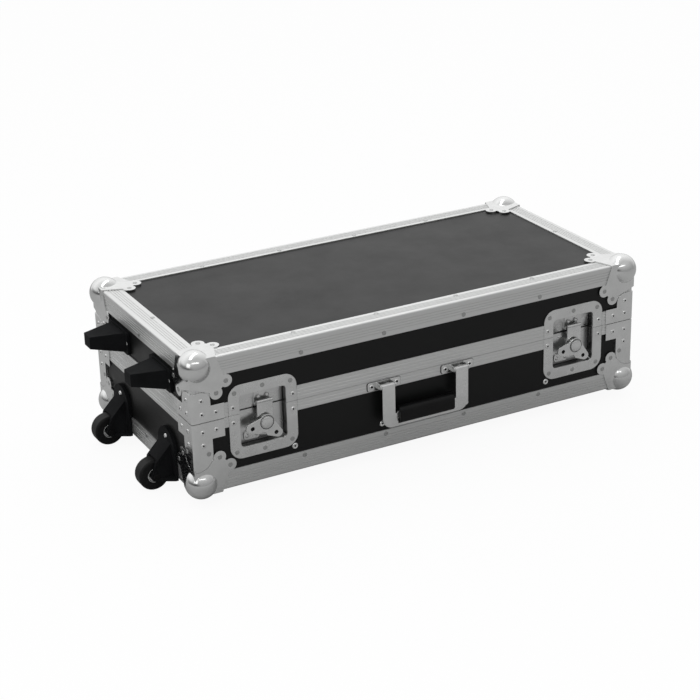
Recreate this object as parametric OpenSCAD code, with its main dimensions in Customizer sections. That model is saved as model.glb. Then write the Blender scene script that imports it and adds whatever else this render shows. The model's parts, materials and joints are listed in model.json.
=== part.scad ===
// Flight case for compact discs: a plywood trunk with aluminium edge profiles,
// ball corners, two recessed butterfly latches, a front carrying handle,
// two castors at one end and a pull-out trolley handle at the other.
// Millimetres. Drawn round the middle of the box's underside and then moved
// so that the origin is the bottom centre of everything.

/* [Box] */
// Outer length over the edge profiles
case_len = 726; // [660:1:900]
// Outer width over the edge profiles
case_wid = 350; // [330:1:460]
// Height of the base up to the parting line
base_hgt = 108; // [104:1:140]
// Height of the lid above the parting line
lid_hgt = 92; // [86:1:130]
// Plywood thickness
ply_t = 6.5; // [5:0.5:9]
// Gap between the two rims when shut
part_gap = 0.4; // [0.3:0.1:0.8]

/* [Edge profiles] */
// Leg width of the aluminium angle
angle_leg = 28; // [26:0.5:29]
// Wall of the aluminium angle and of the rim legs
angle_t = 1.6; // [1.4:0.1:2]
// Outside corner radius of the angle
angle_r = 2.5; // [1.8:0.1:3]
// Width of the fine grooves along the legs
groove_w = 1.4; // [0.8:0.1:1.8]
// Depth of the fine grooves
groove_d = 0.5; // [0.2:0.05:0.7]

/* [Closure rims] */
// Height of the base rim's outer leg
base_rim_h = 15.5; // [15:0.5:20]
// Height of the lid rim's outer leg
lid_rim_h = 21.6; // [18:0.2:24]
// Height of the inner legs below the web
rim_inner_h = 11; // [6:0.5:14]
// Thickness of the base rim's web, which holds the groove
base_web_t = 5; // [4.5:0.1:6]
// Thickness of the lid rim's web
lid_web_t = 1.8; // [1.4:0.1:2.4]
// Width of the lid's tongue
tongue_w = 2.4; // [1.6:0.1:2.8]
// Height of the lid's tongue below its web
tongue_h = 2.2; // [1.4:0.1:2.6]
// Side clearance of the tongue in the groove
tongue_gap = 1; // [0.7:0.1:1.4]

/* [Ball corners] */
// Radius of the ball
ball_r = 23; // [21:0.5:25]
// How far the ball's centre lies in from each face
ball_in = 13; // [12:0.1:18.5]
// Wall of the pressed ball
ball_wall = 3; // [2:0.1:4]
// Thickness of the corner's flanges
flange_t = 1.5; // [1.2:0.1:2]
// Straight reach of the flange along an edge
flange_reach = 39; // [36:0.5:44]
// Distance of each lobe's rivet from the nearer edge
lobe_near = 37; // [36:0.5:38]
// Distance of each lobe's rivet from the farther edge
lobe_far = 52; // [48:0.5:53]
// Radius of the lobes
lobe_r = 9.3; // [7:0.1:9.5]

/* [Corner braces] */
// Sheet thickness of the braces
brace_t = 1.3; // [1:0.1:1.5]
// Reach of the base brace's arm along the rim
base_arm_reach = 47; // [40:0.5:49]
// Height of the base brace's arm
base_arm_h = 25.7; // [22:0.1:28]
// Reach of the lid brace's arm along the rim
lid_arm_reach = 48; // [40:0.5:50]
// Height of the lid brace's arm
lid_arm_h = 22.8; // [20:0.1:26]
// Height of the base brace's lower end above the underside
base_brace_end = 36; // [34:0.5:40]
// Distance of the lid brace's upper end below the top
lid_brace_end = 47; // [40:0.5:50]

/* [Latches] */
// Distance of each latch's centre from the end of the case
latch_in = 106.3; // [106:0.1:130]
// Width of the latch dish's flange
dish_w = 104; // [94:1:104]
// Height of the latch dish's flange
dish_h = 111; // [106:1:112]
// Corner radius of the flange
dish_r = 19; // [12:0.5:24]
// How far the dish's centre lies under the parting line
dish_drop = 12; // [11:0.5:13]
// Width of the dish's recess
recess_w = 71; // [68:0.5:74]
// Height of the dish's recess
recess_h = 78; // [75:0.5:80]
// Depth of the recess
recess_d = 12; // [11.5:0.1:13]
// Sheet thickness of the recess
recess_t = 1.2; // [1:0.1:1.6]
// How far the turning axis lies under the parting line
rotor_drop = 21; // [20:0.5:22]
// Width of the hook plate
hook_w = 24; // [20:0.5:30]
// Travel of the hook plate
hook_travel = 6; // [4:0.5:8]
// How far the latch's works lie to the right of the dish's middle
works_off = 4; // [0:0.5:6]
// Half of the wing's span
wing_half = 28; // [26:0.5:29]
// Tilt of the wings at rest, seen from the front
wing_tilt = 20; // [0:1:30]

/* [Carrying handle] */
// Offset of the handle's centre along the front
handle_x = -7; // [-20:1:20]
// Distance between the handle's two arms
arm_pitch = 121.2; // [112:0.5:140]
// Width of each arm
arm_w = 20.6; // [16:0.5:22]
// Sheet thickness of the bail
bail_t = 2; // [1.6:0.1:2.4]
// Drop of the bail's lower edge under the pivot
bail_drop = 64.5; // [60:0.5:68]
// Distance of the pivot in front of the case
pivot_out = 11; // [10:0.5:13]
// Radius of the rolled knuckles
knuckle_r = 4; // [3.5:0.1:4.5]
// Length of the soft grip
grip_len = 90; // [80:1:94]
// Height of the soft grip
grip_h = 24.5; // [20:0.5:26]
// Thickness of the soft grip
grip_t = 17; // [14:0.5:18]

/* [Castors and feet] */
// Distance of each castor from the middle
castor_y = 84.4; // [70:0.1:84.4]
// Wheel diameter
wheel_d = 45; // [42:0.5:46]
// Wheel width
wheel_w = 22; // [18:0.5:24]
// Distance of the axle beyond the end of the case
axle_out = 28; // [26:0.2:30]
// Height of the axle above the case's underside
axle_z = 5.5; // [4:0.5:8]
// Axle radius
axle_r = 3; // [2.5:0.1:3.5]
// Half width of the castor bracket's plate
bracket_half = 29; // [26:0.5:29]
// Height of the plate's top above the case's underside
bracket_top = 70; // [66:0.5:72]
// Thickness of the plate in front of the profile
bracket_t = 4; // [3:0.1:5]
// Thickness of each fork cheek
cheek_t = 5.5; // [4:0.1:6]
// Distance of each wedge foot from the middle
wedge_y = 77; // [60:0.5:77]
// Length of the wedge foot's plate
wedge_plate = 72; // [66:1:72]
// Diameter of the two rubber feet
foot_d = 38; // [30:1:40]

/* [Hinges] */
// Distance of each hinge from the middle
hinge_x = 220; // [150:1:250]
// Length of a hinge
hinge_len = 60; // [50:1:80]
// Distance of the hinge axis behind the case
hinge_out = 4.5; // [4.4:0.1:6]
// Radius of the hinge knuckles
hinge_r = 4; // [3.2:0.1:4]
// Radius of the hinge pins
hinge_pin_r = 2; // [1.5:0.1:2.2]

/* [Trolley handle] */
// Distance of each rod from the middle
rod_y = 60; // [45:0.5:70]
// Radius of the rods
rod_r = 8; // [6:0.1:8]
// Travel of the handle
trolley_travel = 300; // [200:5:300]
// Thickness of the grip bar
bar_t = 16; // [14:0.5:20]
// Finger gap behind the grip bar
bar_gap = 16; // [14:0.5:24]
// Travel of the release button
button_travel = 4; // [2:0.5:4]

/* [Tray] */
// Height of the battens' lower edge above the underside
batten_z = 34.5; // [34:0.5:36]
// Section height of the battens
batten_h = 15; // [12:0.5:16]
// Section width of the battens
batten_w = 14; // [10:0.5:16]
// Thickness of the tray floor
floor_t = 4; // [3:0.5:5]
// Thickness of the dividers
divider_t = 6; // [4:0.5:8]
// Distance of each cross divider from the middle
cross_x = 120; // [100:1:140]
// Thickness of the foam strips along the walls
strip_t = 20; // [16:0.5:24]
// Thickness of the foam under the lid's top
lid_foam_t = 12; // [8:0.5:16]

/* [Hidden] */
$fn = 48;

over = 1;
seat_gap = 0.3;
// radial clearance of everything that turns on a pin
run_fit = 0.1;
hx = case_len / 2;
hy = case_wid / 2;
case_hgt = base_hgt + lid_hgt;
lid_open_z = base_hgt + part_gap;
wall_in = angle_t + ply_t;
rim_w = wall_in + angle_t;
ball_proud = ball_r - ball_in;
corner_cut = ball_in + seat_gap;
wheel_r = wheel_d / 2;
stand_h = wheel_r - axle_z;

// reaches of the outermost pieces beyond the box
reach_left = axle_out + wheel_r;
end_plate_o = 2.5;
reach_right = end_plate_o + bar_gap + bar_t;
grip_out = pivot_out + 1.5 + grip_t / 2;
reach_front = grip_out;
reach_back = max(hinge_out + hinge_r, ball_proud);
shift = [(reach_left - reach_right) / 2, (reach_front - reach_back) / 2, stand_h];

silver = [0.78, 0.79, 0.8];
steel = [0.68, 0.69, 0.7];
laminate = [0.12, 0.12, 0.12];
black = [0.06, 0.06, 0.06];
birch = [0.72, 0.6, 0.42];
foam_grey = [0.22, 0.22, 0.23];

// ---------- frames ----------
module placed() translate(shift) children();
module both_x() {
  children();
  mirror([1, 0, 0]) children();
}
module both_y() {
  children();
  mirror([0, 1, 0]) children();
}
// tub frame of the lid: z counts down from the top face
module lid_frame() translate([0, 0, case_hgt]) mirror([0, 0, 1]) children();
// flat work on the front face: x stays, y becomes z, depth goes outward
module on_front(out) translate([0, -hy - out, 0]) rotate([90, 0, 0]) children();
module on_back(out) mirror([0, 1, 0]) on_front(out) children();
// flat work on the wheel end: x becomes -y, y becomes z, depth goes outward
module on_wheel_end(out) translate([-hx - out, 0, 0]) rotate([90, 0, -90]) children();
// profiles drawn as (outward, z) on the front, drawn along x from x0
module along_x(x0, len) translate([x0, -hy, 0]) rotate([90, 0, 90]) linear_extrude(len) children();

module rounded_rect(w, h, r) {
  square([w - 2 * r, h], center = true);
  square([w, h - 2 * r], center = true);
  for (sx = [-1, 1], sy = [-1, 1])
    translate([sx * (w / 2 - r), sy * (h / 2 - r)]) circle(r);
}

// ---------- edge profiles ----------
groove_at = [8, 12, 16, 20];

module angle_profile() {
  difference() {
    union() {
      square([angle_leg, angle_t]);
      square([angle_t, angle_leg]);
    }
    difference() {
      translate([-over, -over]) square(angle_r + over);
      translate([angle_r, angle_r]) circle(angle_r);
    }
    for (g = groove_at) {
      translate([g - groove_w / 2, -over]) square([groove_w, over + groove_d]);
      translate([-over, g - groove_w / 2]) square([over + groove_d, groove_w]);
    }
  }
}

// angles of one tub; z counts up from its outer face
module tub_angles(upright_top) {
  both_y() translate([-hx + corner_cut, -hy, 0]) rotate([90, 0, 90])
    linear_extrude(2 * (hx - corner_cut)) angle_profile();
  both_x() translate([-hx, hy - angle_leg - seat_gap, 0]) rotate([90, 0, 0])
    linear_extrude(2 * (hy - angle_leg - seat_gap)) angle_profile();
  both_x() both_y() translate([-hx, -hy, angle_leg + seat_gap])
    linear_extrude(upright_top - angle_leg - seat_gap) angle_profile();
}

module corner_blocks() {
  both_x() both_y() translate([-hx - over, -hy - over, -over])
    cube(corner_cut + over);
}

// ---------- closure rims ----------
groove_half = tongue_w / 2 + tongue_gap;
rim_mid = rim_w / 2;
mitre_gap = 0.12;
base_web_z = base_hgt - base_web_t;
lid_web_z = lid_open_z + lid_web_t;
lid_rim_top = lid_open_z + lid_rim_h;
groove_deep = tongue_h + part_gap / 2;

// section in (depth, z)
module base_rim_profile() {
  difference() {
    union() {
      translate([0, base_hgt - base_rim_h]) square([angle_t, base_rim_h]);
      translate([0, base_web_z]) square([rim_w, base_web_t]);
      translate([wall_in, base_web_z - rim_inner_h]) square([angle_t, rim_inner_h + over]);
    }
    translate([rim_mid - groove_half, base_hgt - groove_deep])
      square([2 * groove_half, groove_deep + over]);
    for (g = [5, 10]) translate([-over, base_hgt - g - groove_w / 2])
      square([over + groove_d, groove_w]);
  }
}

module lid_rim_profile() {
  difference() {
    union() {
      translate([0, lid_open_z]) square([angle_t, lid_rim_h]);
      translate([0, lid_open_z]) square([rim_w, lid_web_t]);
      translate([wall_in, lid_open_z]) square([angle_t, lid_web_t + rim_inner_h]);
      translate([rim_mid - tongue_w / 2, lid_open_z - tongue_h])
        square([tongue_w, tongue_h + over]);
    }
    for (g = [6, 11, 16]) translate([-over, lid_open_z + g - groove_w / 2])
      square([over + groove_d, groove_w]);
  }
}

// one bar of a rim, mitred at both ends; half = half length of its side
module rim_bar(half, side) {
  intersection() {
    translate([-half, -side, 0]) rotate([90, 0, 90]) linear_extrude(2 * half) children();
    linear_extrude(case_hgt) polygon([
      [-half + mitre_gap - over, -side - over],
      [half - mitre_gap + over, -side - over],
      [half - mitre_gap - 2 * rim_w, -side + 2 * rim_w],
      [-half + mitre_gap + 2 * rim_w, -side + 2 * rim_w]]);
  }
}

// what a latch dish takes out of the front bars
module dish_room() {
  both_x() translate([-hx + latch_in, -hy, 0]) {
    translate([-dish_w / 2 - 0.2, -over, 0]) cube([dish_w + 0.4, angle_t + over, case_hgt]);
    translate([-recess_cut_w / 2, -over, 0]) cube([recess_cut_w, 3 * rim_w, case_hgt]);
  }
}

module base_rim() placed() color(silver) {
  difference() {
    rim_bar(hx, hy) base_rim_profile();
    dish_room();
  }
  mirror([0, 1, 0]) rim_bar(hx, hy) base_rim_profile();
  both_x() rotate([0, 0, -90]) rim_bar(hy, hx) base_rim_profile();
}

module lid_rim() placed() color(silver) {
  difference() {
    rim_bar(hx, hy) lid_rim_profile();
    dish_room();
  }
  mirror([0, 1, 0]) rim_bar(hx, hy) lid_rim_profile();
  both_x() rotate([0, 0, -90]) rim_bar(hy, hx) lid_rim_profile();
}

module base_angles() placed() color(silver) tub_angles(base_hgt - base_rim_h);
module lid_angles() placed() color(silver) lid_frame() tub_angles(case_hgt - lid_rim_top);

// ---------- plywood ----------
recess_out_w = recess_w + 2 * recess_t;
recess_out_h = recess_h + 2 * recess_t;
recess_cut_w = recess_out_w + 2 * seat_gap;
dish_z = base_hgt - dish_drop;

module recess_holes() {
  both_x() translate([-hx + latch_in - recess_cut_w / 2, -hy - over,
    dish_z - recess_out_h / 2 - seat_gap])
    cube([recess_cut_w, wall_in + 2 * over, recess_out_h + 2 * seat_gap]);
}

module tub_panel() {
  difference() {
    translate([-hx + angle_t, -hy + angle_t, angle_t])
      cube([2 * (hx - angle_t), 2 * (hy - angle_t), ply_t]);
    corner_blocks();
  }
}

module tub_long_wall(top) {
  difference() {
    translate([-hx + angle_t, -hy + angle_t, wall_in])
      cube([2 * (hx - angle_t), ply_t, top - wall_in]);
    corner_blocks();
  }
}

module tub_end_wall(top) {
  difference() {
    translate([-hx + angle_t, -hy + wall_in, wall_in])
      cube([ply_t, 2 * (hy - wall_in), top - wall_in]);
    corner_blocks();
  }
}

lid_wall_top = case_hgt - lid_web_z;

module bottom_panel() placed() color(laminate) tub_panel();
module base_front_wall() placed() color(laminate) difference() {
  tub_long_wall(base_web_z);
  recess_holes();
}
module base_back_wall() placed() color(laminate) mirror([0, 1, 0]) tub_long_wall(base_web_z);
module base_wheel_end_wall() placed() color(laminate) tub_end_wall(base_web_z);
module base_handle_end_wall() placed() color(laminate) difference() {
  mirror([1, 0, 0]) tub_end_wall(base_web_z);
  both_y() translate([hx - wall_in - over, rod_y, rod_z]) rotate([0, 90, 0])
    cylinder(r = tube_ro + 0.2, h = ply_t + 2 * over);
}
module lid_top_panel() placed() color(laminate) lid_frame() tub_panel();
module lid_front_wall() placed() color(laminate) difference() {
  lid_frame() tub_long_wall(lid_wall_top);
  recess_holes();
}
module lid_back_wall() placed() color(laminate) mirror([0, 1, 0]) lid_frame() tub_long_wall(lid_wall_top);
module lid_end_walls() placed() color(laminate) both_x() lid_frame() tub_end_wall(lid_wall_top);

// ---------- ball corners ----------
lobe_mid = (lobe_near + lobe_far) / 2 + 1.5;
flange_room = angle_leg + 0.4;

module lobes() {
  for (p = [[lobe_far, lobe_near], [lobe_near, lobe_far]]) translate(p) circle(lobe_r);
}

module corner_outline() {
  polygon([
    [-flange_t, -flange_t], [flange_reach, -flange_t],
    [lobe_far - 2.5, angle_leg], [lobe_far, lobe_near],
    [lobe_mid, lobe_mid], [lobe_near, lobe_far],
    [angle_leg, lobe_far - 2.5], [-flange_t, flange_reach]]);
  lobes();
}

module lobe_pads() {
  intersection() {
    lobes();
    translate([flange_room, flange_room]) square(3 * lobe_r);
  }
}

// sheet on each of the three faces at the corner, thickness t, out of the box
module face_z(t) translate([0, 0, -t]) linear_extrude(t) children();
module face_y(t) rotate([90, 0, 0]) linear_extrude(t) children();
module face_x(t) translate([-t, 0, 0]) rotate([90, 0, 90]) linear_extrude(t) children();

module ball_shell() {
  difference() {
    translate([ball_in, ball_in, ball_in]) difference() {
      sphere(ball_r);
      sphere(ball_r - ball_wall);
    }
    difference() {
      cube(3 * ball_r);
      translate([-over, -over, -over]) cube(ball_in + over);
    }
  }
}

// the children give the outline of the brace that the side flanges meet
module ball_corner() {
  ball_shell();
  difference() {
    union() {
      face_z(flange_t) corner_outline();
      face_y(flange_t) difference() {
        corner_outline();
        children();
      }
      face_x(flange_t) difference() {
        corner_outline();
        children();
      }
    }
    translate([-ball_r, -ball_r, -ball_r]) cube(ball_r + ball_in);
    translate([ball_in, ball_in, ball_in]) sphere(ball_r - ball_wall);
  }
  translate([0, 0, angle_t]) face_z(angle_t) lobe_pads();
  translate([0, angle_t, 0]) face_y(angle_t) lobe_pads();
  translate([angle_t, 0, 0]) face_x(angle_t) lobe_pads();
}

module base_ball() translate([-hx, -hy, 0]) ball_corner() base_brace_outline(seat_gap);
module lid_ball() lid_frame() translate([-hx, -hy, 0]) ball_corner() lid_brace_outline(seat_gap);

module base_corner_front_left() placed() color(steel) base_ball();
module base_corner_front_right() placed() color(steel) mirror([1, 0, 0]) base_ball();
module base_corner_back_left() placed() color(steel) mirror([0, 1, 0]) base_ball();
module base_corner_back_right() placed() color(steel) mirror([1, 0, 0]) mirror([0, 1, 0]) base_ball();
module lid_corner_front_left() placed() color(steel) lid_ball();
module lid_corner_front_right() placed() color(steel) mirror([1, 0, 0]) lid_ball();
module lid_corner_back_left() placed() color(steel) mirror([0, 1, 0]) lid_ball();
module lid_corner_back_right() placed() color(steel) mirror([1, 0, 0]) mirror([0, 1, 0]) lid_ball();

// ---------- corner braces ----------
brace_leg = 28;
brace_back = 0.3;
base_arm_v = base_hgt - brace_back;
lid_arm_v = case_hgt - lid_open_z - brace_back;
base_round = 24;
lid_round = 14;

// (distance along the face, height in the tub); c grows it all round
module base_brace_outline(c) {
  round_v = base_brace_end + base_round;
  translate([-brace_t, base_arm_v - base_arm_h - c])
    square([base_arm_reach + brace_t + c, base_arm_h + c]);
  translate([-brace_t, round_v]) square([brace_leg + brace_t + c, base_arm_v - round_v]);
  intersection() {
    translate([brace_leg - base_round, round_v]) circle(base_round + c);
    translate([-brace_t, base_brace_end - over]) square([brace_leg + 2 * over, 2 * base_round]);
  }
}

module lid_brace_outline(c) {
  round_v = lid_brace_end + lid_round;
  translate([-brace_t, lid_arm_v - lid_arm_h - c])
    square([lid_arm_reach + brace_t + c, lid_arm_h + c]);
  translate([-brace_t, round_v]) square([brace_leg + brace_t + c, lid_arm_v - round_v]);
  translate([-brace_t, lid_brace_end - c])
    square([brace_leg - lid_round + brace_t, lid_round + c + over]);
  translate([brace_leg - lid_round, round_v]) circle(lid_round + c);
}

module brace() {
  difference() {
    union() {
      face_y(brace_t) children();
      face_x(brace_t) children();
    }
    translate([-brace_t, -brace_t, 0]) difference() {
      translate([-over, -over, 0]) cube([brace_r + over, brace_r + over, case_hgt]);
      translate([brace_r, brace_r, -over]) cylinder(r = brace_r, h = case_hgt + 2 * over);
    }
  }
}
brace_r = 3;

module base_braces() placed() color(steel)
  both_x() both_y() translate([-hx, -hy, 0]) brace() base_brace_outline(0);
module lid_braces() placed() color(steel)
  both_x() both_y() lid_frame() translate([-hx, -hy, 0]) brace() lid_brace_outline(0);

// ---------- rivets ----------
rivet_r = 2.7;
rivet_h = 0.9;
module rivet() cylinder(r1 = rivet_r, r2 = 0.7 * rivet_r, h = rivet_h);
module rivet_y(u, v, out) translate([u, -out, v]) rotate([90, 0, 0]) rivet();
module rivet_x(u, v, out) translate([-out, u, v]) rotate([0, -90, 0]) rivet();
module rivet_z(u, v, out) translate([u, v, -out]) rotate([180, 0, 0]) rivet();

module lobe_rivets() {
  for (p = [[lobe_far, lobe_near], [lobe_near, lobe_far]]) {
    rivet_y(p[0], p[1], flange_t);
    rivet_x(p[0], p[1], flange_t);
    rivet_z(p[0], p[1], flange_t);
  }
}
module side_rivets(points, out) {
  for (p = points) {
    rivet_y(p[0], p[1], out);
    rivet_x(p[0], p[1], out);
  }
}
base_brace_rivets = [
  [brace_leg / 2, base_arm_v - 13.6], [base_arm_reach - 12.6, base_arm_v - 13.3],
  [brace_leg / 2, base_arm_v - 33.2], [brace_leg - 6.7, base_arm_v - 47.1]];
lid_brace_rivets = [
  [brace_leg / 2, lid_arm_v - 32], [brace_leg / 2, lid_arm_v - 12.2],
  [lid_arm_reach - 13.2, lid_arm_v - 11.6]];
long_rivet_n = 4;
long_rivet_side = 167;
long_rivet_pitch = (case_len - 2 * long_rivet_side) / (long_rivet_n - 1);
rivet_in = 22;

module tub_edge_rivets() {
  both_y() for (i = [0 : long_rivet_n - 1]) {
    x = (i - (long_rivet_n - 1) / 2) * long_rivet_pitch;
    translate([x, -hy, 0]) {
      rivet_y(0, rivet_in, 0);
      rivet_z(0, rivet_in, 0);
    }
  }
}
module tub_end_rivets() both_x() translate([-hx, 0, 0]) {
  rivet_z(rivet_in, 0, 0);
  rivet_x(0, rivet_in, 0);
}

// five rivets on each half of a dish; end is -1 at its foot and 1 at its head
dish_side_in = 6.5;
dish_side_off = 11.5;
dish_corner_in = 9.5;
dish_corner_up = 11;
dish_end_in = 8;
module dish_rivets(end) both_x() on_front(0) translate([-hx + latch_in, 0]) {
  for (sx = [-1, 1]) {
    translate([sx * (dish_w / 2 - dish_side_in), base_hgt + end * dish_side_off]) rivet();
    translate([sx * (dish_w / 2 - dish_corner_in), dish_z + end * (dish_h / 2 - dish_corner_up)]) rivet();
  }
  translate([0, dish_z + end * (dish_h / 2 - dish_end_in)]) rivet();
}

module base_rivets() placed() color(steel) {
  both_x() both_y() translate([-hx, -hy, 0]) {
    lobe_rivets();
    side_rivets(base_brace_rivets, brace_t);
  }
  tub_edge_rivets();
  tub_end_rivets();
  dish_rivets(-1);
}

module lid_rivets() placed() color(steel) {
  both_x() both_y() lid_frame() translate([-hx, -hy, 0]) {
    lobe_rivets();
    side_rivets(lid_brace_rivets, brace_t);
  }
  lid_frame() tub_edge_rivets();
  lid_frame() tub_end_rivets();
  dish_rivets(1);
}

washer_r = 4.5;
washer_t = 0.8;
screw_up = 4;
screw_z = batten_z + screw_up;
screw_clear = 1.7;
corner_above = dish_z - dish_h / 2 + dish_r - screw_z;
screw_side = dish_w / 2 - dish_r
  + sqrt(max(0, pow(dish_r + washer_r + screw_clear, 2) - pow(corner_above, 2)));
screw_pitch = (case_len - 2 * (latch_in + screw_side)) / 3;
screw_r = 3.2;
screw_h = 0.9;
module tray_screws() placed() color(steel) both_y() both_x()
  for (i = [0.5, 1.5])
    on_front(-angle_t) translate([i * screw_pitch, screw_z]) {
      cylinder(r = washer_r, h = washer_t);
      translate([0, 0, washer_t]) cylinder(r1 = screw_r, r2 = 0.6 * screw_r, h = screw_h);
    }

// ---------- butterfly latches ----------
rotor_z = base_hgt - rotor_drop;
boss_r = 9;
spindle_r = 5;
hook_fit = 0.3;
boss_top = -5;
hook_back = boss_top + 0.4;
hook_t = 1.6;
collar_back = hook_back + hook_t + 0.2;
wing_back = 0.25;
wing_t = 1.8;
dome_r = 9.5;
roll_r = 2.2;
roll_z = base_hgt + 10;
keeper_t = 1.5;
keeper_gap = 0.4;

// the whole dish, still in one piece, in the latch's own frame
module dish_sheet() {
  difference() {
    union() {
      translate([0, dish_z, -angle_t]) linear_extrude(angle_t) rounded_rect(dish_w, dish_h, dish_r);
      translate([0, dish_z, -recess_d - recess_t]) linear_extrude(recess_d + recess_t)
        rounded_rect(recess_out_w, recess_out_h, 6 + recess_t);
    }
    translate([0, dish_z, -recess_d]) linear_extrude(recess_d + over)
      rounded_rect(recess_w, recess_h, 6);
  }
}

// lower half with the rotor's boss and spindle
module base_dish() {
  intersection() {
    dish_sheet();
    translate([-dish_w, 0, -2 * recess_d]) cube([2 * dish_w, base_hgt, 4 * recess_d]);
  }
  translate([works_off, rotor_z, -recess_d]) {
    cylinder(r = boss_r, h = recess_d + boss_top);
    cylinder(r = spindle_r, h = recess_d + spindle_top);
    // cam plate beside the boss, riveted to the dish floor
    translate([-cam_off, -cam_drop, 0]) {
      linear_extrude(cam_t) rounded_rect(cam_w, cam_h, cam_h / 3);
      for (sx = [-1, 1]) translate([sx * cam_w / 3.2, 0, cam_t]) rivet();
    }
  }
}
spindle_top = 2;
cam_off = 19;
cam_drop = 19;
cam_w = 24;
cam_h = 13;
cam_t = 2.4;

module lid_dish() {
  intersection() {
    dish_sheet();
    translate([-dish_w, lid_open_z, -2 * recess_d]) cube([2 * dish_w, lid_hgt, 4 * recess_d]);
  }
  // keeper: a riveted plate with a lip that turns up in front
  translate([works_off, base_hgt + keeper_up, -recess_d]) {
    translate([-keeper_w / 2, 0, 0]) {
      cube([keeper_w, keeper_h, keeper_t]);
      cube([keeper_w, keeper_web, recess_d - keeper_o]);
      translate([0, 0, recess_d - keeper_o - keeper_t]) cube([keeper_w, keeper_lip, keeper_t]);
    }
    for (sx = [-1, 1]) translate([sx * keeper_w / 4, keeper_h - 1.3 * rivet_r - 3, keeper_t]) rivet();
  }
}
keeper_up = 4;
keeper_w = 26;
keeper_h = 18;
keeper_web = 2;
keeper_lip = 5;
roll_o = hook_back + roll_r - hook_t + 0.2;
keeper_o = -(roll_o - roll_r - keeper_gap);

module hook() translate([works_off, 0, 0]) {
  slot = spindle_r + hook_fit;
  translate([0, 0, hook_back]) linear_extrude(hook_t) difference() {
    union() {
      translate([-hook_w / 2, rotor_z]) square([hook_w, roll_z - rotor_z]);
      translate([0, rotor_z]) circle(hook_w / 2);
    }
    translate([0, rotor_z]) circle(slot);
    translate([-slot, rotor_z - hook_travel]) square([2 * slot, hook_travel]);
    translate([0, rotor_z - hook_travel]) circle(slot);
  }
  translate([-hook_w / 2, roll_z, roll_o]) rotate([0, 90, 0]) cylinder(r = roll_r, h = hook_w);
}

wing_lobe = 6.6;
wing_drop = 9;
wing_hole = 18;
wing_hole_r = 3;
dome_h = 1.4;
collar_r = 8;
lobe_x = wing_half - wing_lobe;
shoulder_run = [lobe_x - dome_r / 2, -wing_drop];
shoulder_out = wing_lobe * [wing_drop, shoulder_run[0]] / norm(shoulder_run);
module wing_outline() difference() {
  union() {
    circle(dome_r + 2);
    for (sx = [-1, 1]) mirror([sx > 0 ? 0 : 1, 0]) {
      translate([lobe_x, -wing_drop]) circle(wing_lobe);
      polygon([[-over, shoulder_out[1]], [dome_r / 2 + shoulder_out[0], shoulder_out[1]],
        [lobe_x + shoulder_out[0], shoulder_out[1] - wing_drop], [lobe_x, -wing_drop],
        [lobe_x, -wing_drop - wing_lobe], [-over, -wing_drop - wing_lobe]]);
    }
  }
  for (sx = [-1, 1]) translate([sx * wing_hole, -wing_drop]) circle(wing_hole_r);
  translate([0, -wing_drop - 2 * wing_lobe]) circle(1.3 * wing_lobe);
}

module wing() {
  dome_back = wing_back + wing_t + dome_h;
  translate([works_off, rotor_z, 0]) difference() {
    union() {
      rotate([0, 0, -wing_tilt]) translate([0, 0, wing_back]) linear_extrude(wing_t) wing_outline();
      translate([0, 0, collar_back]) cylinder(r = collar_r, h = wing_back + wing_t - collar_back);
      translate([0, 0, wing_back]) cylinder(r1 = dome_r, r2 = 0.94 * dome_r, h = wing_t + dome_h);
      translate([0, 0, dome_back]) cylinder(r1 = 0.94 * dome_r, r2 = 0.7 * dome_r, h = 1);
    }
    translate([0, 0, collar_back - over])
      cylinder(r = spindle_r + run_fit, h = over + spindle_top + seat_gap - collar_back);
  }
}

module at_left_latch() on_front(0) translate([-hx + latch_in, 0, 0]) children();
module at_right_latch() on_front(0) translate([hx - latch_in, 0, 0]) children();

module left_latch_dish() placed() color(steel) at_left_latch() base_dish();
module right_latch_dish() placed() color(steel) at_right_latch() base_dish();
module left_latch_hook() placed() color(silver) at_left_latch() hook();
module right_latch_hook() placed() color(silver) at_right_latch() hook();
module left_latch_wing() placed() color(silver) at_left_latch() wing();
module right_latch_wing() placed() color(silver) at_right_latch() wing();
module latch_lid_dishes() placed() color(steel) {
  at_left_latch() lid_dish();
  at_right_latch() lid_dish();
}

// ---------- carrying handle ----------
pivot_z = base_hgt - 6.5;
handle_pin_r = 1.8;
bracket_w = 53.5;
bracket_z0 = base_hgt - 13.8;
bracket_h = 12.9;
bracket_sheet = 1.5;
ear_gap = 0.4;
ear_t = 2;

module handle_bracket() {
  translate([0, bracket_z0 + bracket_h / 2, 0]) linear_extrude(bracket_sheet)
    rounded_rect(bracket_w, bracket_h, 3);
  for (sx = [-1, 1]) translate([sx * (arm_w / 2 + ear_gap + ear_t / 2), pivot_z, 0])
    rotate([0, 90, 0]) translate([0, 0, -ear_t / 2]) {
      translate([-pivot_out, -knuckle_r, 0]) cube([pivot_out, 2 * knuckle_r, ear_t]);
      translate([-pivot_out, 0, 0]) cylinder(r = knuckle_r, h = ear_t);
    }
  translate([-arm_w / 2 - ear_gap - ear_t, pivot_z, pivot_out]) rotate([0, 90, 0])
    cylinder(r = handle_pin_r, h = arm_w + 2 * (ear_gap + ear_t));
  for (sx = [-1, 1]) translate([sx * 20.3, bracket_z0 + bracket_h / 2, bracket_sheet]) rivet();
}

module handle_brackets() placed() color(steel)
  for (sx = [-1, 1]) on_front(0) translate([handle_x + sx * arm_pitch / 2, 0, 0]) handle_bracket();

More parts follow.
